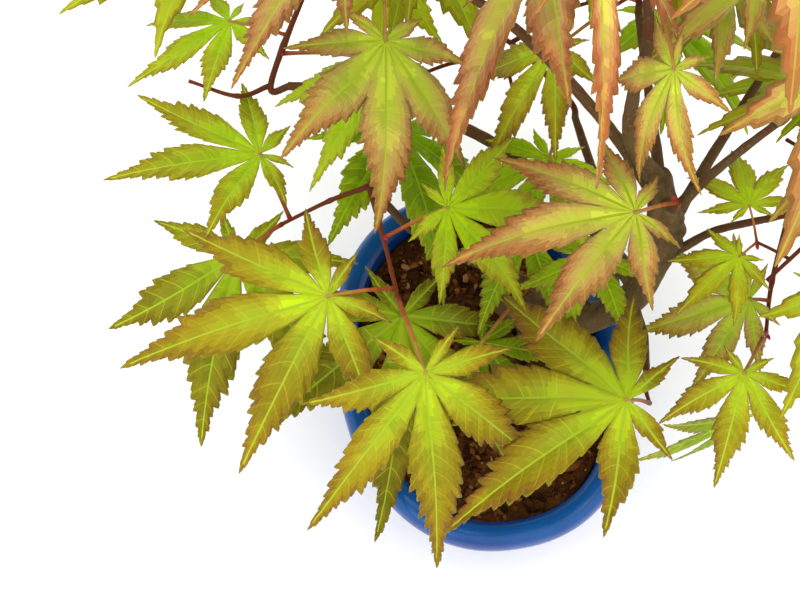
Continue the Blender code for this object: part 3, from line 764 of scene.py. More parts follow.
def lobe_patch(leaf, texture, dice, form, length, gaps, seams):
    """One lobe as rows that run out from the leaf's centre and follow the side veins, which slant forwards
    from the midrib to the teeth. The half-width is the lobe's profile plus a saw-tooth, and at the base no
    more than the line to the next lobe. Each side is its half-widths and how far along its margin lies."""
    base = max(seams) + 1
    along = BASE_STEP * leaf.size * np.arange(1, base + 1) / length
    start = along[-1]
    count = max(LEAST_TEETH, round(texture.teeth * (TEETH_KEPT + (1 - TEETH_KEPT) * length / leaf.size)))
    marks = start + (1 - start) * (1 - (1 - np.arange(count + 1) / count) ** TOOTH_CROWDING)
    marks[1:-1] += dice.uniform(-TOOTH_SCATTER, TOOTH_SCATTER, count - 1) * np.diff(marks)[1:]
    toothed = (marks[:-1, None] + np.diff(marks)[:, None] * texture.phases).ravel()[1:]
    t = np.concatenate([along, toothed])
    plain = np.zeros(base)
    shape = np.tile(texture.shape, count)[1:]
    slanted = ease(t, start, start + SLANT_RUN)
    broad = length * form.wide
    middle = np.maximum.accumulate(t * length - slanted * (lobe_width(t) * broad))
    sides = []
    for hand, gap, seam in zip((-1, 1), gaps, seams):
        at = np.clip(t + hand * form.offset * SLANT_DIFFERENCE * slanted * lobe_width(t), 0, 1)
        vigour = np.repeat(dice.uniform(*TOOTH_VIGOUR, count), len(texture.phases))[1:]
        saw = np.concatenate([plain, shape * vigour])
        depth = tooth_depth(at) * length
        width = lobe_width(at) * broad + depth * (saw - TOOTH_SUNK * (t > start))
        width[:seam] = (t * length * math.tan(gap))[:seam]
        swept = slanted * lobe_width(at) * broad * (1 + hand * SLANT_DIFFERENCE)
        forward = np.maximum(middle + swept + TOOTH_FORWARD * depth * saw, middle)
        sides.append((np.append(width, 0.0), np.append(forward, length)))
    veinlets = np.zeros(len(t), bool)
    if texture.veinlet:
        starts = base + np.arange(count) * len(texture.phases) + texture.veinlet - 1
        veinlets[starts[starts < len(veinlets) - 2]] = True
    phase = np.concatenate([plain, np.tile(texture.phases, count)[1:], [1.0]])
    return Patch(np.append(t, 1.0), np.append(middle, length), sides, veinlets, phase, base)


def half_grid(patch, hand, columns, rib):
    """Across and along for each column of one side of a lobe, from its margin in. The last one, where a rib
    is given, is the rib's edge."""
    width, along = patch.sides[hand > 0]
    reaches = [column * width for column in columns]
    if rib is not None:
        reaches.append(rib)
    fractions = [np.divide(reach, width, out=np.zeros_like(width), where=width > TINY) for reach in reaches]
    ahead = [patch.middle + (along - patch.middle) * fraction**COLUMN_LEAN for fraction in fractions]
    return [hand * reach for reach in reaches], ahead


def blade_grid(leaf, columns, form, turn, length, patch, looks, ribbed):
    """Places a lobe's grid in the world: across the lobe, along it, and up from the blade, where the surface
    dips at the midrib, swells between the side veins, folds up along the midrib and curls at the tip. Columns
    run from the right margin over the midrib to the left one. Gives the places, and how far out each lies
    as a share of the half-width."""
    t = patch.t
    right_width, left_width = [width for width, _ in patch.sides]
    rib = looks.midrib * (RIB_FOOT - RIB_TAPER * t) * math.sqrt(leaf.size / FULL_SIZE)
    rib = np.minimum(rib, RIB_LIMIT * np.minimum(right_width, left_width)) if ribbed else None
    right, left = [half_grid(patch, hand, columns, rib) for hand in (-1, 1)]
    y = np.stack([*right[0], np.zeros(len(t)), *left[0][::-1]], axis=1)
    x = np.stack([*right[1], patch.middle, *left[1][::-1]], axis=1)
    width = np.where(y < 0, right_width[:, None], left_width[:, None])
    share_out = np.divide(np.abs(y), width, out=np.zeros_like(y), where=width > TINY)
    start = t[patch.base - 1]
    beyond = np.maximum(0, (x - start * length) / (length * (1 - start)))
    y = y + form.bend * length * (beyond**2 - beyond)
    dip = np.exp(-((share_out * width / DIP_WIDTH) ** 2))
    between = share_out * (1 - share_out) * 4
    phase = patch.phase[:, None]
    swell = np.cos((phase - SWELL_PHASE) * 2 * math.pi)
    spots = np.stack([x + RIPPLE_STRIDE * turn, y, np.full_like(x, leaf.centre[0])], axis=-1)
    ripple = noise(spots, RIPPLE_SIZE) * share_out**2
    calm = ease(x, 0, RELIEF_START * leaf.size)
    rise = calm * (leaf.size / FULL_SIZE) * (
        -DIP_DEPTH * dip - looks.quilting * swell * between * (phase > 0)
        + BELLY * between * width + form.fold * share_out * width + RIPPLE * ripple
    )
    rise = rise - form.curl * length * beyond**2
    places = leaf_places(leaf, np.hypot(x, y).ravel(), (turn + np.arctan2(y, x)).ravel())
    return (places + rise.ravel()[:, None] * leaf_axes(leaf)[2]).reshape(*x.shape, 3), share_out


def sheet_faces(grid, centre):
    """Faces over a lobe's grid of point numbers: a fan from the leaf's centre to the first row, quads between
    the rows, and triangles to the tip, which is all of the last row."""
    columns = grid.shape[1] - 1
    none = np.full(columns, -1)
    fan = np.column_stack([np.full(columns, centre), grid[0, :-1], grid[0, 1:], none])
    corners = (grid[:-2, :-1], grid[1:-1, :-1], grid[1:-1, 1:], grid[:-2, 1:])
    body = np.column_stack([corner.ravel() for corner in corners])
    point = np.column_stack([grid[-2, :-1], grid[-1, :-1], grid[-2, 1:], none])
    return np.vstack([fan, body, point])


def turned_over(faces):
    """The same faces, which point the other way."""
    turned, three = faces[:, ::-1].copy(), faces[:, 3] < 0
    turned[three] = faces[three][:, (2, 1, 0, 3)]
    return turned


def leaf_blade(leaf, shares, texture, looks, dice, palette):
    """A closed blade: seven lobes that share their base seams, each with an upper and a lower face that meet
    at the margin. Gives points, faces and the palette slot of each face."""
    up = leaf_axes(leaf)[2]
    half = looks.thickness * leaf.size / FULL_SIZE
    points = [np.array([leaf.centre, leaf.centre - up * half * 2])]
    count = 2
    faces, slots = [], []
    seams = lobe_seams(leaf, shares)
    touching = [[seam_rows(length, wide, leaf.size, gap) for gap in gaps] for _, length, wide, *gaps in seams]
    shared = [0, *[min(right[1], left[0]) for right, left in zip(touching, touching[1:])], 0]
    grids = []
    for index, (turn, length, wide, *gaps) in enumerate(seams):
        bend, curl, fold = [dice.uniform(*limits) for limits in (BEND_RANGE, CURL_RANGE, FOLD_RANGE)]
        form = Form(bend, curl, fold, dice.choice((-1, 1)), wide)
        patch = lobe_patch(leaf, texture, dice, form, length, gaps, touching[index])
        top, share_out = blade_grid(leaf, texture.columns, form, turn, length, patch, looks, True)
        below, under_share = blade_grid(leaf, UNDER_COLUMNS, form, turn, length, patch, looks, False)
        t = patch.t[:, None]
        depth = half * (UNDER_DEPTH + UNDER_RIDGE * (1 - under_share) ** 2 * (RIDGE_REACH - t))
        below = below - (depth * ease(np.minimum(t, TIP_REACH - t), 0, CLOSING))[..., None] * up
        numbers = []
        for grid in (top, below):
            numbers.append(count + np.arange(grid.shape[0] * grid.shape[1]).reshape(grid.shape[:2]))
            points.append(grid.reshape(-1, 3))
            count += numbers[-1].size
        for each in numbers:
            each[-1] = numbers[0][-1, 0]
        for edge, rows in ((0, shared[index]), (-1, shared[index + 1])):
            free = max(rows - 1, 0)
            numbers[1][free:, edge] = numbers[0][free:, edge]
        if grids:
            for each, neighbour in zip(numbers, grids[-1]):
                each[:shared[index], 0] = neighbour[:shared[index], -1]
        grids.append(numbers)
        sheets = sheet_faces(numbers[0], 0), turned_over(sheet_faces(numbers[1], 1))
        faces += sheets
        slots += [palette(leaf, top, patch, share_out, dice), np.full(len(sheets[1]), palette.under(leaf))]
    faces.append(np.array([[0, 1, grids[0][0][0, 0], -1], [1, 0, grids[-1][0][0, -1], -1]]))
    slots.append(np.zeros(2, int))
    faces, points = np.vstack(faces), np.vstack(points)
    used, renumbered = np.unique(faces[faces >= 0], return_inverse=True)
    compact = np.full(faces.shape, -1)
    compact[faces >= 0] = renumbered
    return points[used], compact, np.concatenate(slots)



# Colours


def linear(colour):
    """Turns a colour given on the usual 0 to 255 scale into the shader's linear one."""
    share = np.array(colour, float) / 255
    return tuple(np.where(share <= 0.04045, share / 12.92, ((share + 0.055) / 1.055) ** 2.4))


# Each table gives colours as they look in the stage's light, and EXPOSURE turns them into base colours.
EXPOSURE = 0.56
OLIVE_TINTS = ((0.0, (160, 196, 0)), (0.15, (182, 218, 18)), (0.28, (196, 208, 42)), (0.42, (188, 174, 34)),
               (0.6, (176, 148, 22)), (0.8, (166, 112, 36)), (1.0, (158, 90, 44)))
PEACH_TINTS = ((0.0, (176, 204, 20)), (0.3, (206, 218, 68)), (0.45, (214, 200, 84)), (0.6, (214, 172, 96)),
               (0.8, (202, 130, 78)), (1.0, (176, 94, 58)))
RIB_TINTS = ((0.0, (190, 220, 40)), (0.4, (204, 214, 64)), (0.7, (204, 184, 78)), (1.0, (216, 158, 98)))
UNDER_TINTS = ((0.0, (146, 168, 66)), (0.4, (174, 172, 86)), (0.7, (192, 146, 92)), (1.0, (208, 142, 100)))
STALK_TINTS = ((0.0, (150, 62, 30)), (0.5, (196, 116, 54)), (1.0, (206, 168, 84)))
TWIG_TINTS = ((0.0, (120, 92, 66)), (0.5, (118, 62, 34)), (1.0, (130, 58, 28)))
BLADE_STEPS, RIB_STEPS, UNDER_STEPS, STALK_STEPS, TWIG_STEPS = 18, 6, 5, 6, 5
# Strengths of deeper and paler copies of each leaf colour: own tones, and painted shade and painted light.
DEPTHS = (1.22, 1.1, 1.0, 0.92, 0.84, 0.76, 0.68)
VEINLET_STRENGTH = 1.05
VEIN_SHARE = 0.22
PEACH_FROM = 0.5
LEAF_ROUGHNESS = 0.5
SPECULAR = 0.07
# Light that passes through a leaf: its share, its reach in metres, and how far each colour goes of that.
GLOW = 0.3
GLOW_REACH = 0.002
GLOW_COLOURS = (0.6, 1.0, 0.2)

# A dealt leaf's tint: it turns from this height over this rise, by this much, and a young leaf has more.
TINT_FOOT = 100
TINT_RISE = 150
TINT_GAIN = 0.8
YOUNG_TINT = 0.15

# How warm a face is, from 0 to 1 in its table of tints. Each pair is a share for any leaf, and one that
# grows with the leaf's own tint; each reach is the stretch of the lobe over which the share comes in.
WARM_START = (0.06, 0.38)
WARM_MARGIN = (0.20, 0.66)
WARM_TIP = (0.16, 0.46)
MARGIN_REACH = (0.08, 0.45)
TIP_STRETCH = (0.35, 1.0)
MARGIN_POWER = 1.6
WARM_CLOUD, WARM_DAPPLE, WARM_GRAIN = 0.05, 0.03, 0.015
# Sizes of the noises in millimetres, with their seeds.
CLOUD_NOISE = (9.0, 3)
DAPPLE_NOISE = (4.0, 5)
DEPTH_NOISE = (14.0, 11)
# How deep a face's colour is, in steps of DEPTHS: deeper at the margin and the tips of olive leaves, paler
# round the leaf's centre, deeper low in the crown as painted shade and paler high in it as painted light.
DEPTH_START = 2.0
DEPTH_CLOUD, DEPTH_DAPPLE, DEPTH_MARGIN, DEPTH_GRAIN = 1.1, 0.5, 1.3, 0.12
CENTRE_PALER = 1.6
CENTRE_REACH = (0.05, 0.4)
CENTRE_MARGIN = 0.6
OLIVE_TIP = 0.7
OLIVE_STRETCH = (0.4, 1.0)
LOW_PAINTED_SHADE = 2.3
SHADE_HEIGHTS = (80.0, 130.0)
HIGH_PAINTED_LIGHT = 0.8
LIGHT_HEIGHTS = (190.0, 250.0)
# Where side veins and midrib end, across and along a lobe, and how warm the midrib is.
VEIN_OUT = 0.9
VEIN_ALONG = 0.88
RIB_ALONG = 0.96
RIB_TINT = 0.35
RIB_WARMTH = 0.6


def tint(table, share):
    """The colour at a share of the way along a table of tints."""
    stops, colours = [row[0] for row in table], np.array([row[1] for row in table], float)
    return np.array([np.interp(share, stops, colours[:, channel]) for channel in range(3)])


def nearest_step(share, steps):
    """The number of the step that lies nearest to a share of the way along them."""
    return np.clip(np.round(share * (steps - 1)), 0, steps - 1).astype(int)


def exposed(colour):
    """The base colour that looks like this colour in the stage's light."""
    return tuple(EXPOSURE * channel for channel in linear(colour))


class Palette:
    """The plain materials of the leaves, and the rule that deals them to a blade's faces: yellow-green along
    the midribs, warmer towards the tips and margins and on leaves of a warmer tint, with paler ribs and side
    veins. Each colour comes in deeper and paler copies, which also serve as painted shade low in the crown
    and painted light high in it."""

    def __init__(self, tint_shift):
        self.materials = []
        self.shift = tint_shift
        self.blades = [[self.shades(f"{name}_{depth}", table, BLADE_STEPS, strength)
                        for depth, strength in enumerate(DEPTHS)]
                       for name, table in (("olive", OLIVE_TINTS), ("peach", PEACH_TINTS))]
        self.veinlets = [self.shades(name, table, BLADE_STEPS, VEINLET_STRENGTH, VEIN_SHARE)
                         for name, table in (("olive_vein", OLIVE_TINTS), ("peach_vein", PEACH_TINTS))]
        self.rib = self.shades("midrib", RIB_TINTS, RIB_STEPS)
        self.back = self.shades("underside", UNDER_TINTS, UNDER_STEPS)

    def shades(self, name, table, steps, strength=1.0, rib_share=0.0):
        """One material for each step of a table of tints. Gives the slot of the first, and the count."""
        first = len(self.materials)
        for step in range(steps):
            share = step / (steps - 1)
            colour = (1 - rib_share) * tint(table, share) + rib_share * tint(RIB_TINTS, share)
            base = exposed(colour * strength)
            self.materials.append(plain_material(f"{name}_{step:02d}", base, LEAF_ROUGHNESS, leaf=True))
        return first, steps

    def pick(self, family, share):
        """The slot at a share of the way through a family of shades."""
        first, steps = family
        return first + nearest_step(share, steps)

    def leaf_tint(self, leaf):
        """A settled leaf's own tint. A dealt leaf is warmer the higher it hangs, and when it is young."""
        if leaf.tint is not None:
            return leaf.tint + self.shift
        high = np.clip((leaf.centre[2] - TINT_FOOT) / TINT_RISE, 0, 1)
        return float(high) * TINT_GAIN + (leaf.size < SPRIG_SIZE[1]) * YOUNG_TINT + self.shift

    def warmth(self, tone, along, out, spots, grain):
        """A start, plus a share that grows outwards, plus one that grows along the lobe, plus noises."""
        start, margin, tip = [fixed + gain * tone for fixed, gain in (WARM_START, WARM_MARGIN, WARM_TIP)]
        warm = start + margin * out**MARGIN_POWER * ease(along, *MARGIN_REACH)
        warm = warm + tip * ease(along, *TIP_STRETCH)
        warm = warm + WARM_CLOUD * noise(spots, *CLOUD_NOISE) + WARM_DAPPLE * noise(spots, *DAPPLE_NOISE)
        return warm + WARM_GRAIN * grain

    def depth(self, height, olive, along, out, spots, grain):
        """A start, plus noises and the cube of the way out, with terms for centre and tip, and for height:
        painted shade low in the crown and painted light high in it.
        """
        depth = DEPTH_START + DEPTH_CLOUD * noise(spots, *DEPTH_NOISE)
        depth = depth + DEPTH_DAPPLE * noise(spots, *DAPPLE_NOISE)
        depth = depth + DEPTH_MARGIN * out**3 + DEPTH_GRAIN * grain
        depth = depth - CENTRE_PALER * (1 - ease(along, *CENTRE_REACH)) * (1 - CENTRE_MARGIN * out)
        depth = depth + OLIVE_TIP * ease(along, *OLIVE_STRETCH) * olive
        # Painted shade on low leaves, and painted light on high ones, by the height of the leaf's centre.
        depth = depth + LOW_PAINTED_SHADE * (1 - ease(height, *SHADE_HEIGHTS))
        depth = depth - HIGH_PAINTED_LIGHT * ease(height, *LIGHT_HEIGHTS)
        return np.clip(np.round(depth), 0, len(DEPTHS) - 1).astype(int)

    def __call__(self, leaf, places, patch, share_out, dice):
        """The slot of each face of a lobe's upper side."""
        along = np.concatenate([[0.0], (patch.t[:-1] + patch.t[1:]) / 2])[:, None]
        out = (share_out[:, :-1] + share_out[:, 1:]) / 2
        out = np.vstack([out[:1], (out[:-1] + out[1:]) / 2])
        spots = (places[:, :-1] + places[:, 1:]) / 2
        spots = np.vstack([spots[:1], (spots[:-1] + spots[1:]) / 2])
        tone = self.leaf_tint(leaf)
        kind = int(tone >= PEACH_FROM)
        warm = self.warmth(tone, along, out, spots, dice.uniform(-1, 1, out.shape))
        depth = self.depth(leaf.centre[2], 1 - kind, along, out, spots, dice.uniform(-1, 1, out.shape))
        slots = np.choose(depth, [self.pick(blade, warm) for blade in self.blades[kind]])
        veined = np.concatenate([[False], patch.veinlets])[:, None] & (out < VEIN_OUT) & (along < VEIN_ALONG)
        slots = np.where(veined, self.pick(self.veinlets[kind], warm), slots)
        columns = np.arange(out.shape[1])
        middle = (columns == out.shape[1] // 2) | (columns == out.shape[1] // 2 - 1)
        rib = self.pick(self.rib, tone * RIB_TINT + RIB_WARMTH * warm * along)
        return np.where(middle & (along < RIB_ALONG), rib, slots).ravel()

    def under(self, leaf):
        return self.pick(self.back, self.leaf_tint(leaf))


def plain_material(name, colour, roughness, leaf=False):
    """A material of one colour, whose finish is on the shader's own sockets."""
    material = bpy.data.materials.new(name)
    material.use_nodes = True
    shader = material.node_tree.nodes["Principled BSDF"]
    shader.inputs["Base Color"].default_value = (*colour, 1.0)
    shader.inputs["Roughness"].default_value = roughness
    shader.inputs["Specular IOR Level"].default_value = SPECULAR
    if leaf:
        shader.inputs["Subsurface Weight"].default_value = GLOW
        shader.inputs["Subsurface Scale"].default_value = GLOW_REACH
        shader.inputs["Subsurface Radius"].default_value = GLOW_COLOURS
    return material


def stepped_materials(name, table, steps, roughness):
    """One material for each step of a table of tints."""
    colours = [exposed(tint(table, step / (steps - 1))) for step in range(steps)]
    return [plain_material(f"{name}_{step}", colour, roughness) for step, colour in enumerate(colours)]


class Value:
    """A number that varies over a surface. Each Python operation on it adds a Math node."""

    def __init__(self, look, socket):
        self.look, self.socket = look, socket

    def maths(self, operation, first, second=0.0):
        node = self.look.add("ShaderNodeMath", {"operation": operation}, {0: first, 1: second})
        return Value(self.look, node.outputs[0])

    def __add__(self, other):
        return self.maths("ADD", self, other)

    def __radd__(self, other):
        return self.maths("ADD", other, self)

    def __sub__(self, other):
        return self.maths("SUBTRACT", self, other)

    def __rsub__(self, other):
        return self.maths("SUBTRACT", other, self)

    def __mul__(self, other):
        return self.maths("MULTIPLY", self, other)

    def __rmul__(self, other):
        return self.maths("MULTIPLY", other, self)

    def between(self, low, high):
        """0 below the first level and 1 above the second, with a smooth rise between."""
        inputs = {"Value": self, "From Min": low, "From Max": high}
        node = self.look.add("ShaderNodeMapRange", {"interpolation_type": "SMOOTHSTEP"}, inputs)
        return Value(self.look, node.outputs["Result"])


# How many stops a new colour ramp has.
RAMP_STOPS = 2


class Look:
    """A material of nodes that reads the object's own coordinates."""

    def __init__(self, name, specular):
        self.material = bpy.data.materials.new(name)
        self.material.use_nodes = True
        self.tree = self.material.node_tree
        self.shader = self.tree.nodes["Principled BSDF"]
        self.shader.inputs["Specular IOR Level"].default_value = specular
        self.place = self.add("ShaderNodeTexCoord").outputs["Object"]

    def add(self, kind, settings=None, inputs=None):
        """Any node: its type, its settings, and the values or links of its sockets."""
        node = self.tree.nodes.new(kind)
        for name, setting in (settings or {}).items():
            if name == "stops":
                elements = node.color_ramp.elements
                for number, (position, colour) in enumerate(setting):
                    stop = elements[number] if number < RAMP_STOPS else elements.new(position)
                    stop.position, stop.color = position, (*colour, 1.0)
            else:
                setattr(node, name, setting)
        for name, given in (inputs or {}).items():
            if isinstance(given, Value):
                given = given.socket
            if isinstance(given, bpy.types.NodeSocket):
                self.tree.links.new(given, node.inputs[name])
            else:
                node.inputs[name].default_value = given
        return node

    def noise(self, scale, detail=3.0, roughness=0.55, stretch=(1.0, 1.0, 1.0)):
        place = self.place
        if stretch != (1.0, 1.0, 1.0):
            place = self.add("ShaderNodeMapping", None, {"Vector": place, "Scale": stretch}).outputs["Vector"]
        inputs = {"Vector": place, "Scale": scale, "Detail": detail, "Roughness": roughness}
        return Value(self, self.add("ShaderNodeTexNoise", None, inputs).outputs[0])

    def cells(self, scale):
        """Distance to the nearest of scattered cell centres."""
        node = self.add("ShaderNodeTexVoronoi", None, {"Vector": self.place, "Scale": scale})
        return Value(self, node.outputs["Distance"])

    def height(self):
        """The height above the ground, in metres."""
        return Value(self, self.add("ShaderNodeSeparateXYZ", None, {"Vector": self.place}).outputs["Z"])

    def attribute(self, name):
        return Value(self, self.add("ShaderNodeAttribute", {"attribute_name": name}).outputs["Fac"])

    def ramp(self, value, stops):
        return self.add("ShaderNodeValToRGB", {"stops": stops}, {"Fac": value}).outputs["Color"]

    def mix(self, share, first, second):
        """A colour between two others."""
        first, second = [c if isinstance(c, bpy.types.NodeSocket) else (*c, 1.0) for c in (first, second)]
        node = self.add("ShaderNodeMix", {"data_type": "RGBA"}, {0: share, 6: first, 7: second})
        return node.outputs[2]

    def finish(self, colour, roughness, bump, strength, distance):
        """Links what varies to the shader: colour, roughness, and a bump of this strength and distance."""
        node = self.add("ShaderNodeBump", None, {"Height": bump, "Strength": strength, "Distance": distance})
        links = {"Base Color": colour, "Roughness": roughness.socket, "Normal": node.outputs["Normal"]}
        for name, socket in links.items():
            self.tree.links.new(socket, self.shader.inputs[name])
        return self.material


# Heights in metres between which the glaze thins out over the rim, whose paler crest also stands as a
# painted highlight, and the bare clay of the foot ends.
THIN_GLAZE_AND_HIGHLIGHT = (0.0528, 0.0552)
BARE_FOOT = (0.0014, 0.0020)
THIN_AND_HIGHLIGHT_SHARE = 0.55
# Levels of noise, or of distance from a cell's centre, between which each mask rises.
CLOUD_LEVELS = (0.35, 0.68)
SPECK_LEVELS = (0.05, 0.16)


def glaze_look(pot):
    """Deep cobalt glaze: paler over the crest of the rim, where it has run thinner and where a highlight is
    painted, clouded and faintly pitted, and bare clay underneath. Each mask is a level of noise or of height
    with noise added."""
    look = Look("cobalt_glaze", specular=0.3)
    height = look.height()
    clouds = look.noise(scale=38.0, detail=4.0)
    runs = look.noise(scale=70.0, stretch=(1.0, 1.0, 0.25))
    # Paler crest of the rim: thinner glaze, and a painted highlight along its rounded edge.
    thin_glaze_and_highlight = (height + 0.0022 * clouds).between(*THIN_GLAZE_AND_HIGHLIGHT) * THIN_AND_HIGHLIGHT_SHARE
    cloudy = (clouds * 0.6 + runs * 0.4).between(*CLOUD_LEVELS)
    colour = look.mix(cloudy, tuple(pot.glaze), tuple(pot.glaze_cloud))
    colour = look.mix(thin_glaze_and_highlight, colour, tuple(pot.glaze_thin_and_highlight))
    bare = 1.0 - (height + 0.0010 * look.noise(scale=160.0)).between(*BARE_FOOT)
    colour = look.mix(bare, colour, tuple(pot.clay))
    specks = look.cells(scale=900.0).between(*SPECK_LEVELS)
    roughness = pot.gloss + 0.07 * clouds + 0.6 * bare + 0.1 * (1.0 - specks)
    bump = clouds * 0.6 + runs * 0.3 + 0.06 * specks
    return look.finish(colour, roughness, bump, strength=0.25, distance=0.0012)


SOIL_STOPS = ((0.30, (38, 20, 7)), (0.5, (84, 47, 16)), (0.66, (122, 74, 30)), (0.8, (158, 108, 58)))


def soil_look():
    """Dark moist potting mix, with lighter fibrous bits: a ramp over coarse and fine noise."""
    look = Look("potting_mix", specular=0.1)
    coarse = look.noise(scale=210.0, detail=5.0, roughness=0.7)
    fine = look.noise(scale=900.0, detail=4.0, roughness=0.7)
    stops = [(position, linear(colour)) for position, colour in SOIL_STOPS]
    colour = look.ramp(coarse * 0.6 + fine * 0.4, stops)
    return look.finish(colour, 0.72 + 0.3 * fine, coarse + 0.5 * fine, strength=0.9, distance=0.0012)


FURROW_DARK, FURROW_PALE = (56, 42, 22), (146, 120, 76)
YOUNG_PALE, DOT_PALE = (112, 92, 56), (178, 162, 130)
DOT_LEVELS, DOT_SHARE = (0.16, 0.3), 0.18
MOSS_LEVELS, MOSS_SHARE = (0.52, 0.66), 0.75
YOUNG_LEVELS = (0.35, 0.7)
YOUTH_LEVELS = (0.25, 0.85)


def bark_look(wood):
    """Grey-brown bark with furrows, pale dots and some moss, which turns smooth and maroon on young limbs."""
    look = Look("maple_bark", specular=0.15)
    youth = look.attribute("youth")
    furrows = look.noise(scale=260.0, detail=6.0, roughness=0.65, stretch=(1.0, 1.0, 0.3))
    patches, fine = look.noise(scale=55.0, detail=4.0), look.noise(scale=1300.0)
    dots = 1.0 - look.cells(scale=420.0).between(*DOT_LEVELS)
    stops = ((0.28, exposed(FURROW_DARK)), (0.5, tuple(wood.bark)), (0.72, exposed(FURROW_PALE)))
    old = look.ramp(furrows * 0.65 + patches * 0.35, stops)
    mossy = (patches * 0.7 + fine * 0.3).between(*MOSS_LEVELS) * (1.0 - youth)
    old = look.mix(mossy * MOSS_SHARE, old, tuple(wood.moss))
    young = look.mix(furrows.between(*YOUNG_LEVELS), tuple(wood.young_bark), exposed(YOUNG_PALE))
    colour = look.mix(youth.between(*YOUTH_LEVELS), old, young)
    colour = look.mix(dots * DOT_SHARE, colour, exposed(DOT_PALE))
    roughness = 0.62 + 0.3 * furrows
    bump = furrows * (1.0 - 0.7 * youth) + 0.2 * fine + 0.2 * dots
    return look.finish(colour, roughness, bump, strength=0.8, distance=0.0011)


# Pieces


# Points on the rim when its length is measured, points round the pot and the soil, rings on the soil and the
# size of the last one, and the points between those of the pot's profiles.
OVAL_STEPS = 2880
POT_COLUMNS = 200
SOIL_COLUMNS = 180
SOIL_RINGS = 60
SOIL_POLE = 0.02
PROFILE_STEPS = (4, 8, 7, 8)
# Profile of the pot's outside, as insets and heights.
FOOT_PROFILE = ((FOOT_INSET, 0.0), (FOOT_INSET - 1.5, 1.2), (FOOT_INSET - 1.8, 4.0), (15.2, 6.0))
BODY_PROFILE = ((10.4, 17.0), (6.4, 31.0), (COLLAR_INSET, 44.0))
RIM_PROFILE = (
    (0.8, 45.1), (0.3, 45.6), (0.0, 48.5), (0.7, 51.8), (2.4, 53.6), (4.5, POT_HEIGHT), (6.8, 53.5),
)
INNER_HEIGHTS = (51.5, 42.0, 26.0, 12.0, FLOOR_THICKNESS)
# The wall is a little uneven: the noise's depth, size and seed, and the heights over which it comes in.
WALL_WAVE = 0.12
WAVE_NOISE = (26.0, 21)
WAVE_HEIGHTS = (3.0, 8.0)
# The soil's top: its two sizes of lump, each a height, a size and a seed, and the bank round the trunk.
SOIL_SUNK = 0.6
SOIL_LUMPS = ((0.9, 9.0, 31), (0.55, 3.2, 33))
BANK_HEIGHT = 1.6
BANK_PLACE = (28, 11)
BANK_SPREAD = 15.0


def oval(inset, turn):
    """x and y on the pot's superellipse, drawn in by the inset: the cosine and sine to the power 2 over
    squareness."""
    power = 2 / POT_SQUARENESS
    x = (POT_HALF_WIDTH - inset) * np.sign(np.cos(turn)) * np.abs(np.cos(turn)) ** power
    y = (POT_HALF_LENGTH - inset) * np.sign(np.sin(turn)) * np.abs(np.sin(turn)) ** power
    return x, y


def inner_wall(height):
    """Inset of the pot's inner face at a height between its floor and its rim."""
    rise = (height - FLOOR_THICKNESS) / (POT_HEIGHT - FLOOR_THICKNESS)
    return RIM_WIDTH + (WALL_FOOT - RIM_WIDTH) * (1 - rise) ** WALL_CURVE


def even_turn(count):
    """Angles that step evenly round the rim, worked out from the oval's own length."""
    turn = np.linspace(0, 2 * math.pi, OVAL_STEPS + 1)
    x, y = oval(0, turn)
    length = np.concatenate([[0], np.cumsum(np.hypot(np.diff(x), np.diff(y)))])
    return np.interp(np.linspace(0, length[-1], count, endpoint=False), length, turn)


def oval_rings(profile, count):
    """One oval for each inset and height of a profile."""
    turn = even_turn(count)
    x, y = oval(np.array(profile)[:, 0][:, None], turn[None])
    z = np.broadcast_to(np.array(profile)[:, 1][:, None], x.shape)
    return np.stack([x, y, z], axis=-1)


def pot_piece(settings):
    """The pot: its profile, from the flat foot over the collar and rim and down inside, carried round the
    oval and moved in and out by noise."""
    inside = [(inner_wall(height), height) for height in INNER_HEIGHTS]
    body, rim = [FOOT_PROFILE[-1], *BODY_PROFILE], [BODY_PROFILE[-1], *RIM_PROFILE, inside[0]]
    runs = [smooth(points, steps) for points, steps in zip((FOOT_PROFILE, body, rim, inside), PROFILE_STEPS)]
    profile = np.vstack([run[:-1] for run in runs[:-1]] + [runs[-1]])
    rings = oval_rings(profile, POT_COLUMNS)
    wave = noise(rings, *WAVE_NOISE) * WALL_WAVE * ease(rings[..., 2], *WAVE_HEIGHTS)
    out = rings - rings.mean(axis=1, keepdims=True)
    out /= np.linalg.norm(out, axis=-1, keepdims=True)
    skin = Surfaces()
    skin.add(*closed_rings(rings + out * wave[..., None]))
    return skin.build("glazed_pot", [glaze_look(settings)])


def soil_height(x, y):
    """The lumpy top of the soil: two sizes of noise about its level, banked up a little round the trunk."""
    spot = np.stack([x, y, np.zeros_like(x)], axis=-1)
    bank = BANK_HEIGHT * np.exp(-(((x - BANK_PLACE[0]) ** 2 + (y - BANK_PLACE[1]) ** 2) / BANK_SPREAD**2))
    lumps = [height * noise(spot, size, seed) for height, size, seed in SOIL_LUMPS]
    return SOIL_TOP - SOIL_SUNK + lumps[0] + lumps[1] + bank


def soil_piece():
    """The filling: its wall up from the pot's floor, then rings of the oval that shrink to a point on its
    lumpy top."""
    x, y = oval(inner_wall(SOIL_TOP) + SOIL_CLEARANCE, even_turn(SOIL_COLUMNS))
    shares = np.linspace(1, SOIL_POLE, SOIL_RINGS)[:, None]
    top_x, top_y = x * shares, y * shares
    top = np.stack([top_x, top_y, soil_height(top_x, top_y)], axis=-1)
    heights = (FLOOR_THICKNESS + GAP, *INNER_HEIGHTS[3:0:-1])
    side = oval_rings([(inner_wall(height) + SOIL_CLEARANCE, height) for height in heights], SOIL_COLUMNS)
    skin = Surfaces()
    skin.add(*closed_rings(np.concatenate([side, top])))
    return skin.build("potting_soil", [soil_look()])


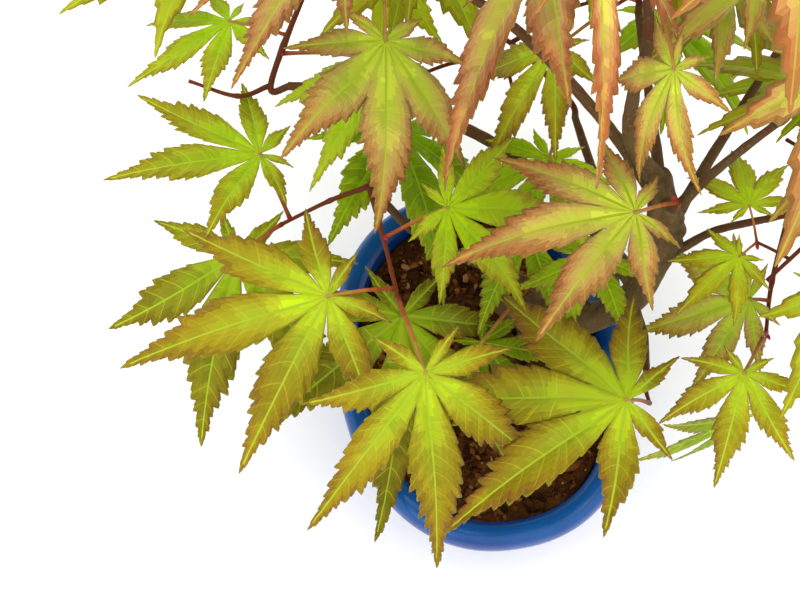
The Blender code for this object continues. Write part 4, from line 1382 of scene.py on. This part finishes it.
def icosahedron():
    """The twelve corners, at the cyclic turns of (0, 1, golden ratio), and the twenty faces."""
    golden = (1 + math.sqrt(5)) / 2
    first = np.array([(-1, golden, 0), (1, golden, 0), (-1, -golden, 0), (1, -golden, 0)])
    corners = np.vstack([first, np.roll(first, 1, axis=1), np.roll(first, 2, axis=1)])
    faces = np.array([
        (0, 11, 5), (0, 5, 1), (0, 1, 7), (0, 7, 10), (0, 10, 11), (1, 5, 9), (5, 11, 4), (11, 10, 2),
        (10, 7, 6), (7, 1, 8), (3, 9, 4), (3, 4, 2), (3, 2, 6), (3, 6, 8), (3, 8, 9), (4, 9, 5),
        (2, 4, 11), (6, 2, 10), (8, 6, 7), (9, 8, 1),
    ])
    return corners / np.linalg.norm(corners[0]), faces


def scatter(skin, corners, faces, places, sizes, turns, slots):
    """Copies of a small solid of triangles, stretched by sizes, turned by matrices and set at places, all at
    once."""
    points = np.einsum("nij,nkj->nki", turns, corners * sizes[:, None]) + places[:, None]
    shifted = (faces[None] + corners.shape[-2] * np.arange(len(places))[:, None, None]).reshape(-1, 3)
    shifted = np.hstack([shifted, np.full((len(shifted), 1), -1)])
    skin.add(points.reshape(-1, 3), shifted, np.repeat(slots, len(faces)))


def random_turns(dice, count):
    """Rotation matrices from random unit quaternions."""
    q = dice.normal(size=(count, 4))
    w, x, y, z = (q / np.linalg.norm(q, axis=1, keepdims=True)).T
    rows = [(1 - 2 * (y * y + z * z), 2 * (x * y - z * w), 2 * (x * z + y * w)),
            (2 * (x * y + z * w), 1 - 2 * (x * x + z * z), 2 * (y * z - x * w)),
            (2 * (x * z - y * w), 2 * (y * z + x * w), 1 - 2 * (x * x + y * y))]
    return np.moveaxis(np.array([[np.asarray(cell) for cell in row] for row in rows]), -1, 0)


SOIL_BIT_COLOURS = ((40, 21, 8), (62, 34, 11), (84, 47, 16), (104, 60, 24), (128, 80, 38), (160, 116, 70))
SOIL_BIT_SHARES = (0.22, 0.26, 0.22, 0.16, 0.10, 0.04)
# Bits: how alike their sizes are, their least and greatest proportions, the spread of their corners, how far
# they keep from the wall, and the share of their thickness by which they stand out of the soil.
BIT_SEED = 7
BIT_LIKENESS = 4.0
BIT_LEAST, BIT_MOST = (0.7, 0.5, 0.3), (1.9, 1.1, 0.7)
BIT_CORNERS = (0.72, 1.12)
BIT_MARGIN = 1.5
BIT_LIFT = 0.2
BIT_ROUGHNESS = 0.95


def soil_bits_piece(settings):
    """Chips of bark and crumbs, strewn evenly over the soil's top: the root of an even draw is the share of
    the way out."""
    dice = np.random.default_rng(BIT_SEED)
    count = settings.bits
    share, turn = np.sqrt(dice.uniform(0, 1, count)), dice.uniform(0, 2 * math.pi, count)
    usual = dice.gamma(BIT_LIKENESS, 1 / BIT_LIKENESS, count)[:, None]
    size = usual * dice.uniform(BIT_LEAST, BIT_MOST, (count, 3)) * settings.bit_size / MM
    x, y = oval(inner_wall(SOIL_TOP) + SOIL_CLEARANCE + BIT_MARGIN, turn)
    x, y = x * share, y * share
    corners, faces = icosahedron()
    rough = corners[None] * dice.uniform(*BIT_CORNERS, (count, len(corners), 1))
    places = np.stack([x, y, soil_height(x, y) + BIT_LIFT * size[:, 2]], axis=1)
    slots = dice.choice(len(SOIL_BIT_COLOURS), count, p=SOIL_BIT_SHARES)
    skin = Surfaces()
    scatter(skin, rough, faces, places, size, random_turns(dice, count), slots)
    colours = [linear(colour) for colour in SOIL_BIT_COLOURS]
    materials = [plain_material(f"soil_bit_{i}", colour, BIT_ROUGHNESS) for i, colour in enumerate(colours)]
    return skin.build("soil_bits", materials)


TRUNK_STEPS, TRUNK_SIDES = 22, 96
BOUGH_STEPS, BOUGH_SIDES = 16, 22
# How far under the soil's top the trunk's skin starts.
TRUNK_SUNK = 3.0
# Youth of the bark, from 0 to 1: the height from which the trunk's grows and the rise that would bring it
# to 1, and a bough's at its foot and what it gains by its tip.
YOUTH_FOOT, YOUTH_RISE = 60, 260
BOUGH_YOUTH, BOUGH_YOUTH_GAIN = 0.35, 0.6
# How much a bough swells at its foot, and how fast that fades.
COLLAR_SWELL, COLLAR_FADE = 0.5, 9
# Root ridges: the height they start to fade from, how fast, the radius they rise from, and a ridge's
# half-width at the radius where it is measured.
ROOT_TOP, ROOT_FADE, ROOT_CORE = 45.0, 5.2, 3.0
RIDGE_HALF_WIDTH, RIDGE_RADIUS = 3.2, 8.0
# Noises in the bark, each a depth, a size, a seed and a factor on the height, which draws it out upwards.
TRUNK_NOISES = ((0.30, 2.6, 51, 0.35), (0.12, 1.1, 53, 0.5), (0.45, 8.0, 55, 1))
SCAR_NOISE = (0.9, 3.4, 57, 1)
LIMB_LUMPS = (0.09, 3.0, 61, 1)
LIMB_FURROWS = (0.05, 1.2, 63, 0.4)
# The healed cut: its height, its reach, and the depth and rate of its folds.
KNOB_HEIGHT, KNOB_REACH = 116.0, 6.5
FOLD_DEPTH, FOLD_RATE = 0.5, 1.6


def bell(value, centre, width):
    """A bell curve of height 1."""
    return np.exp(-(((value - centre) / width) ** 2))


def bark_noise(rings, depth, size, seed, stretch):
    """Noise of this depth over rings whose heights are multiplied by the stretch."""
    return depth * noise(rings * (1, 1, stretch), size, seed)


def trunk_radius(rings, out, heights, radii, wood):
    """The trunk's radius round each ring: its own, plus a ridge towards each root that dies away upwards,
    furrows and small lumps, and folds of healed bark round the old cut."""
    bearing = np.arctan2(out[..., 1], out[..., 0])
    radius = np.broadcast_to(radii[:, None], bearing.shape).copy()
    low = np.exp(-np.maximum(heights - ROOT_TOP, 0) / ROOT_FADE)[:, None]
    for root, reach in zip(np.radians(ROOT_BEARINGS), ROOT_REACHES):
        off = np.angle(np.exp(1j * (bearing - root)))
        radius += low * (reach - ROOT_CORE) * np.exp(-((off * RIDGE_RADIUS / RIDGE_HALF_WIDTH) ** 2))
    coarse, fine, lumps = [bark_noise(rings, *each) for each in TRUNK_NOISES]
    folds = FOLD_DEPTH * np.cos((heights[:, None] - KNOB_HEIGHT) * FOLD_RATE)
    scar = bell(heights, KNOB_HEIGHT, KNOB_REACH)[:, None] * (bark_noise(rings, *SCAR_NOISE) + folds)
    return radius + (coarse + fine + lumps + scar) * wood.relief


def limb_radius(rings, radii):
    """The radius of a bough round each ring: its own, with lumps that are a share of it, and fine furrows."""
    return radii[:, None] * (1 + bark_noise(rings, *LIMB_LUMPS)) + bark_noise(rings, *LIMB_FURROWS)


def add_limb(skin, route, out, radius, youth):
    """A limb whose rings stand out from its route by their radius, with the youth of each ring's bark."""
    points, faces = closed_rings(route[:, None] + out * radius[..., None])
    skin.add(points, faces, 0, np.concatenate([np.repeat(youth, out.shape[1]), [youth[0], youth[-1]]]))


def bark_piece(wood):
    """The trunk with its root flare, and the boughs that spring from it, as rings along their routes. A bough
    swells towards its foot by a share that fades exponentially."""
    skin = Surfaces()
    rough = smooth(TRUNK, TRUNK_STEPS)
    rough = rough[rough[:, 2] > SOIL_TOP - TRUNK_SUNK]
    route, heights = rough[:, :3], rough[:, 2]
    rings, out = tube_rings(route, np.ones(len(route)), TRUNK_SIDES)
    radius = trunk_radius(rings, out, heights, rough[:, 3], wood)
    add_limb(skin, route, out, radius, np.clip((heights - YOUTH_FOOT) / YOUTH_RISE, 0, 1))
    for bough in BOUGHS.values():
        route = smooth([trunk_point(bough.height), *bough.route], BOUGH_STEPS)
        share = np.linspace(0, 1, len(route))
        collar = 1.0 + COLLAR_SWELL * np.exp(-share * COLLAR_FADE)
        radii = np.interp(share, (0, 1), (bough.foot, bough.tip)) * collar
        rings, out = tube_rings(route, np.ones(len(route)), BOUGH_SIDES)
        add_limb(skin, route, out, limb_radius(rings, radii), BOUGH_YOUTH + BOUGH_YOUTH_GAIN * share)
    return skin.build("trunk_and_boughs", [bark_look(wood)], with_youth=True)


def stepped_tube(skin, route, radii, sides, slots):
    """A smooth tube whose palette slot changes ring by ring along the route."""
    points, faces = closed_rings(tube_rings(route, radii, sides)[0])
    skin.add(points, faces, np.repeat(np.concatenate([slots[:-1], slots[:1], slots[-1:]]), sides))


ARCH_STEPS = 7


def arched(start, end, lift):
    """A stalk or twig that is bowed upwards at its middle by a share of its length, then smoothed."""
    middle = (start + end) / 2 + (0, 0, lift * np.linalg.norm(end - start))
    return smooth([start, middle, end], ARCH_STEPS)


TWIG_SIDES, TWIG_ROUTE_STEPS = 10, 10
SPRIG_RADII = (TWIG_RADII[1], 0.5)
# How far a stem is sunk into its bough, and how far a straight twig is bowed.
STEM_SUNK = 1.4
TWIG_ARCH = 0.03
# Joints: how much thicker, where along the twig, and how long.
TIP_JOINT, TIP_JOINT_PLACE = 0.28, 0.985
MIDDLE_JOINT, MIDDLE_JOINT_PLACE = 0.3, 0.5
JOINT_WIDTH = 0.03
# Place in the table of tints at the foot, and what it gains by the tip.
STEM_TONE = (0.25, 0.75)
TWIG_TONE = (0.5, 0.5)
TWIG_ROUGHNESS = 0.55


def twig_piece(crown):
    """Stems and twigs, which taper evenly, are thicker at each joint by a bell curve, and are maroon where
    young."""
    skin = Surfaces()
    for growth in crown.growths.values():
        for route in (growth.stem, *growth.twigs):
            stem, jointed = route is growth.stem, len(route) > 2
            first = route[0] - unit(route[1] - route[0]) * (STEM_SUNK if stem else 0.0)
            straight = arched(first, route[-1], TWIG_ARCH)
            path = smooth([first, *route[1:]], TWIG_ROUTE_STEPS) if jointed else straight
            share = np.linspace(0, 1, len(path))
            radii = STEM_RADII if stem else TWIG_RADII if jointed else SPRIG_RADII
            radius = np.interp(share, (0, 1), radii)
            radius = radius * (1 + TIP_JOINT * bell(share, TIP_JOINT_PLACE, JOINT_WIDTH))
            radius = radius * (1 + MIDDLE_JOINT * bell(share, MIDDLE_JOINT_PLACE, JOINT_WIDTH) * jointed)
            foot, gain = STEM_TONE if stem else TWIG_TONE
            stepped_tube(skin, path, radius, TWIG_SIDES, nearest_step(foot + gain * share, TWIG_STEPS))
    return skin.build("twigs", stepped_materials("twig_bark", TWIG_TINTS, TWIG_STEPS, TWIG_ROUGHNESS))


STALK_SIDES = 8
STALK_ARCH = 0.05
# How far under the blade's centre a stalk ends, its radii at shares of its length, and those of a young one.
STALK_END = 0.25
STALK_SHARES, STALK_WIDTHS = (0, 0.12, 1), (0.95, 0.72, 0.58)
YOUNG_THICKNESS = 0.62
STALK_FLARE, FLARE_WIDTH = 0.35, 0.05
STALK_FADE = 0.8
STALK_ROUGHNESS = 0.45
# The hub where the ribs meet: its half-sizes, and how far it stands up.
HUB_SIZES = (0.95, 0.95, 0.45)
HUB_LIFT = 0.02


def stalk_piece(crown):
    """Leaf stalks, bowed a little and flared under the blade, from a maroon foot to a paler hub."""
    skin = Surfaces()
    hubs, sizes = [], []
    for growth in crown.growths.values():
        for route, leaf in zip(growth.stalks, growth.leaves):
            up = leaf_axes(leaf)[2]
            path = arched(route[0], leaf.centre - up * STALK_END, STALK_ARCH)
            share = np.linspace(0, 1, len(path))
            thick = 1.0 if leaf.size > SPRIG_SIZE[1] else YOUNG_THICKNESS
            radius = np.interp(share, STALK_SHARES, STALK_WIDTHS) * thick
            radius = radius * (1 + STALK_FLARE * bell(share, 1, FLARE_WIDTH))
            stepped_tube(skin, path, radius, STALK_SIDES, nearest_step(share**STALK_FADE, STALK_STEPS))
            hubs.append(leaf.centre + up * HUB_LIFT)
            sizes.append(np.array(HUB_SIZES) * thick)
    count = len(hubs)
    corners, faces = icosahedron()
    turns = np.tile(np.eye(3), (count, 1, 1))
    slots = np.full(count, STALK_STEPS - 1)
    scatter(skin, np.tile(corners, (count, 1, 1)), faces, np.array(hubs), np.array(sizes), turns, slots)
    return skin.build("leaf_stalks", stepped_materials("stalk", STALK_TINTS, STALK_STEPS, STALK_ROUGHNESS))


BUD_SEED = 19
BUD_SHARE = 0.4
BUD_SIDES, BUD_RINGS = 8, 9
BUD_ENDS = (0.02, 0.98)
# A bud leans aside, raised by this much, and ahead by a share of that. It starts this far from the twig's
# axis and has this length. Its radius is this much at most, plus the least, and the power shapes its ends.
BUD_RISE = 0.5
BUD_AHEAD = 0.7
BUD_START = 0.5
BUD_LENGTH = (1.6, 2.6)
BUD_RADIUS, BUD_LEAST, BUD_POWER = 0.6, 0.04, 0.8
BUD_RED = (206, 58, 60)
BUD_ROUGHNESS = 0.4


def bud_piece(crown):
    """Small red buds at the feet of some leaf stalks: pointed ovals, as rings whose radius is a power of a
    sine."""
    dice = np.random.default_rng(BUD_SEED)
    skin = Surfaces()
    share = np.linspace(*BUD_ENDS, BUD_RINGS)
    radius = BUD_RADIUS * np.sin(math.pi * share**BUD_POWER) ** BUD_POWER + BUD_LEAST
    for growth in crown.growths.values():
        for route in growth.stalks:
            if dice.random() > BUD_SHARE:
                continue
            foot, ahead = route[0], unit(route[1] - route[0])
            side = unit(np.cross(ahead, (0, 0, 1)) + (0, 0, BUD_RISE))
            axis = unit(ahead * BUD_AHEAD + side * dice.choice((-1, 1)))
            path = foot + axis * (BUD_START + share[:, None] * dice.uniform(*BUD_LENGTH))
            stepped_tube(skin, path, radius, BUD_SIDES, np.zeros(BUD_RINGS, int))
    return skin.build("buds", [plain_material("bud_red", exposed(BUD_RED), BUD_ROUGHNESS)])


LEAF_SEED = 100


def leaf_pieces(crown, settings):
    """One joined piece of leaves for each mass of the crown, with only the materials that it uses."""
    palette = Palette(settings.tint_shift)
    looks = Looks(settings.midrib_width / MM / 2, settings.quilting / MM, settings.thickness / MM / 2)
    pieces = {}
    for order, (name, growth) in enumerate(crown.growths.items()):
        dice = np.random.default_rng(LEAF_SEED + order)
        skin = Surfaces()
        settled = len(MASSES[name].leaves)
        for number, leaf in enumerate(growth.leaves):
            texture = FINE if number < settled else COARSE
            shares = LOBE_SHARES.get((name, number), {})
            skin.add(*leaf_blade(leaf, shares, texture, looks, dice, palette))
        used, numbers = np.unique(np.concatenate(skin.slots), return_inverse=True)
        skin.slots = [numbers]
        pieces[name] = skin.build("leaves_" + name, [palette.materials[slot] for slot in used])
    return pieces


# The add-on


def colour_property(name, description, default):
    return FloatVectorProperty(
        name=name, description=description, subtype="COLOR", size=3, min=0, max=1, default=linear(default)
    )


def length_property(name, description, low, high, default):
    return FloatProperty(
        name=name, description=description, unit="LENGTH", min=low, max=high, default=default
    )


class PotSettings(bpy.types.PropertyGroup):
    glaze: colour_property("Glaze", "Colour of the thick glaze", (0, 50, 116))
    glaze_cloud: colour_property("Glaze clouds", "Colour of a little thinner glaze", (0, 66, 134))
    # The rim's paler crest: thinner glaze, and a painted highlight.
    glaze_thin_and_highlight: colour_property("Thin glaze", "Colour of the glaze on the crest of the rim", (8, 84, 146))
    clay: colour_property("Clay", "Colour of the bare clay underneath", (176, 142, 108))
    gloss: FloatProperty(name="Roughness", description="Roughness of the glaze", min=0, max=1, default=0.2)


class SoilSettings(bpy.types.PropertyGroup):
    bits: IntProperty(
        name="Bits", description="How many chips and crumbs lie on the soil", min=1, max=5000, default=2600
    )
    bit_size: length_property("Bit size", "Usual size of a chip", 0.0002, 0.004, 0.0012)


class WoodSettings(bpy.types.PropertyGroup):
    bark: colour_property("Bark", "Colour of old bark", (94, 74, 42))
    moss: colour_property("Moss", "Colour of the moss on old bark", (82, 78, 34))
    young_bark: colour_property("Young bark", "Colour of young limbs", (92, 54, 28))
    relief: FloatProperty(
        name="Relief", description="Depth of the trunk's furrows, as a share", min=0, max=2, default=1.0
    )


class LeafSettings(bpy.types.PropertyGroup):
    thickness: length_property("Thickness", "Thickness of a full blade", 0.0002, 0.002, 0.0005)
    midrib_width: length_property("Midrib width", "Width of a midrib at its foot", 0.0002, 0.003, 0.0009)
    quilting: length_property("Quilting", "How far the blade swells between side veins", 0, 0.001, 0.00022)
    tint_shift: FloatProperty(
        name="Autumn", description="How much further the leaves have turned", min=-1, max=1, default=0.0
    )


class StageSettings(bpy.types.PropertyGroup):
    floor: colour_property("Floor", "Colour of the floor", (250, 250, 250))
    key_power: FloatProperty(
        name="Key light", description="Power of the main soft light, in watts", min=0, max=500, default=5.0
    )
    sky: FloatProperty(
        name="Surround", description="Strength of the even light all round", min=0, max=5, default=1.65
    )


class MapleSettings(bpy.types.PropertyGroup):
    pot: PointerProperty(type=PotSettings, name="Pot", description="The glazed pot")
    soil: PointerProperty(type=SoilSettings, name="Soil", description="The filling of the pot")
    wood: PointerProperty(type=WoodSettings, name="Wood", description="Trunk and boughs")
    leaves: PointerProperty(type=LeafSettings, name="Leaves", description="The foliage")
    stage: PointerProperty(type=StageSettings, name="Stage", description="Floor, lights and camera")


def seat(piece, slot, *nodes):
    """The piece rides on the plant and stands for these nodes, which are hidden. The slot is not used."""
    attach(piece, BODY)
    if nodes:
        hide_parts(*nodes)


# The crown, once it is grown, so that the operators share it.
crowns = {}


def grown_crown():
    """The crown, grown at the first call."""
    if "maple" not in crowns:
        crowns["maple"] = Crown()
    return crowns["maple"]


class MAPLE_OT_pot(bpy.types.Operator):
    """Makes the glazed oval pot"""

    bl_idname = "maple.pot"
    bl_label = "Pot"
    bl_options = {"REGISTER", "UNDO"}

    def execute(self, context):
        seat(pot_piece(context.scene.maple.pot), "glaze", "pot")
        return {"FINISHED"}


class MAPLE_OT_soil(bpy.types.Operator):
    """Fills the pot with soil, and strews chips of bark over it"""

    bl_idname = "maple.soil"
    bl_label = "Soil"
    bl_options = {"REGISTER", "UNDO"}

    def execute(self, context):
        seat(soil_piece(), "soil", "soil")
        seat(soil_bits_piece(context.scene.maple.soil), "soil")
        return {"FINISHED"}


class MAPLE_OT_wood(bpy.types.Operator):
    """Makes the trunk with its root flare, and the boughs"""

    bl_idname = "maple.wood"
    bl_label = "Trunk and boughs"
    bl_options = {"REGISTER", "UNDO"}

    def execute(self, context):
        boughs = ["bough_" + name for name in BOUGHS]
        seat(bark_piece(context.scene.maple.wood), "bark", "trunk", *boughs)
        return {"FINISHED"}


class MAPLE_OT_twigs(bpy.types.Operator):
    """Grows the twigs, leaf stalks and buds"""

    bl_idname = "maple.twigs"
    bl_label = "Twigs, stalks and buds"
    bl_options = {"REGISTER", "UNDO"}

    def execute(self, context):
        for piece in (twig_piece, stalk_piece, bud_piece):
            seat(piece(grown_crown()), "leaves")
        return {"FINISHED"}


class MAPLE_OT_leaves(bpy.types.Operator):
    """Grows the leaves of each mass of the crown"""

    bl_idname = "maple.leaves"
    bl_label = "Leaves"
    bl_options = {"REGISTER", "UNDO"}

    def execute(self, context):
        for name, piece in leaf_pieces(grown_crown(), context.scene.maple.leaves).items():
            seat(piece, "leaves", "foliage_" + name)
        return {"FINISHED"}


CAMERA_AZIMUTH = math.radians(-9.5)
CAMERA_ELEVATION = math.radians(65.0)
CAMERA_TARGET = Vector((-26.6, 25.2, 54.0)) * MM
CAMERA_DISTANCE = 498.0 * MM
CAMERA_LENS = 60.0
SENSOR_WIDTH = 36.0
NEAREST_SEEN = 0.01
# Stage: the floor's half-side in millimetres, and each light's place and size in metres.
FLOOR_REACH = 2500.0
FLOOR_ROUGHNESS = 0.7
LIGHT_AIM = Vector((0, 0, 0.1))
KEY_PLACE, KEY_SIZE = Vector((0.35, 0.25, 1.3)), 0.7
FRONT_PLACE, FRONT_SIZE = Vector((-0.9, -0.9, 0.9)), 0.8
FRONT_SHARE = 0.35


def new_light(name, place, size, power):
    """A soft round light that points at the plant."""
    light = bpy.data.lights.new(name, "AREA")
    light.shape, light.size, light.energy = "DISK", size, power
    lamp = bpy.data.objects.new(name, light)
    bpy.context.scene.collection.objects.link(lamp)
    lamp.location = place
    lamp.rotation_euler = (LIGHT_AIM - place).to_track_quat("-Z", "Y").to_euler()


def new_floor(colour):
    """A large flat floor, as stage."""
    skin = Surfaces()
    x, y = np.meshgrid(*[np.linspace(-FLOOR_REACH, FLOOR_REACH, 3)] * 2)
    skin.add(np.stack([x, y, np.zeros_like(x)], axis=-1).reshape(-1, 3), grid_faces(3, 3))
    skin.build("floor", [plain_material("pale_floor", tuple(colour), FLOOR_ROUGHNESS)])


def new_world(strength):
    """Even white light from all round."""
    world = bpy.data.worlds.new("surround")
    world.use_nodes = True
    surround = world.node_tree.nodes["Background"]
    surround.inputs["Color"].default_value = (1.0, 1.0, 1.0, 1.0)
    surround.inputs["Strength"].default_value = strength
    return world


def new_camera():
    """A camera at the given bearing and height round its target, which it points at."""
    camera = bpy.data.cameras.new("camera")
    camera.lens, camera.sensor_width, camera.clip_start = CAMERA_LENS, SENSOR_WIDTH, NEAREST_SEEN
    back = Vector((math.sin(CAMERA_AZIMUTH) * math.cos(CAMERA_ELEVATION),
                   -math.cos(CAMERA_AZIMUTH) * math.cos(CAMERA_ELEVATION), math.sin(CAMERA_ELEVATION)))
    viewer = bpy.data.objects.new("camera", camera)
    bpy.context.scene.collection.objects.link(viewer)
    viewer.location = CAMERA_TARGET + back * CAMERA_DISTANCE
    viewer.rotation_euler = (-back).to_track_quat("-Z", "Y").to_euler()
    return viewer


class MAPLE_OT_stage(bpy.types.Operator):
    """Sets the floor, the soft lights and the camera"""

    bl_idname = "maple.stage"
    bl_label = "Stage"
    bl_options = {"REGISTER", "UNDO"}

    def execute(self, context):
        stage = context.scene.maple.stage
        new_floor(stage.floor)
        context.scene.world = new_world(stage.sky)
        context.scene.view_settings.view_transform = "Standard"
        new_light("key_light", KEY_PLACE, KEY_SIZE, stage.key_power)
        new_light("front_light", FRONT_PLACE, FRONT_SIZE, stage.key_power * FRONT_SHARE)
        bpy.context.scene.camera = new_camera()
        return {"FINISHED"}


OPERATORS = (MAPLE_OT_pot, MAPLE_OT_soil, MAPLE_OT_wood, MAPLE_OT_twigs, MAPLE_OT_leaves, MAPLE_OT_stage)


class MAPLE_PT_panel(bpy.types.Panel):
    """Lists the settings and pieces of the maple"""

    bl_idname = "MAPLE_PT_panel"
    bl_label = "Potted maple"
    bl_space_type = "VIEW_3D"
    bl_region_type = "UI"
    bl_category = "Maple"

    def draw(self, context):
        for group in ("pot", "soil", "wood", "leaves", "stage"):
            box = self.layout.box()
            box.label(text=group.title())
            settings = getattr(context.scene.maple, group)
            for name in settings.bl_rna.properties.keys():
                if name not in ("rna_type", "name"):
                    box.prop(settings, name)
        for operator in OPERATORS:
            self.layout.operator(operator.bl_idname)


CLASSES = (PotSettings, SoilSettings, WoodSettings, LeafSettings, StageSettings, MapleSettings, *OPERATORS,
           MAPLE_PT_panel)


def register():
    for each in CLASSES:
        bpy.utils.register_class(each)
    bpy.types.Scene.maple = PointerProperty(type=MapleSettings)


def unregister():
    del bpy.types.Scene.maple
    for each in reversed(CLASSES):
        bpy.utils.unregister_class(each)


def main():
    register()
    for operator in OPERATORS:
        group, call = operator.bl_idname.split(".")
        getattr(getattr(bpy.ops, group), call)()


if __name__ == "__main__":
    main()
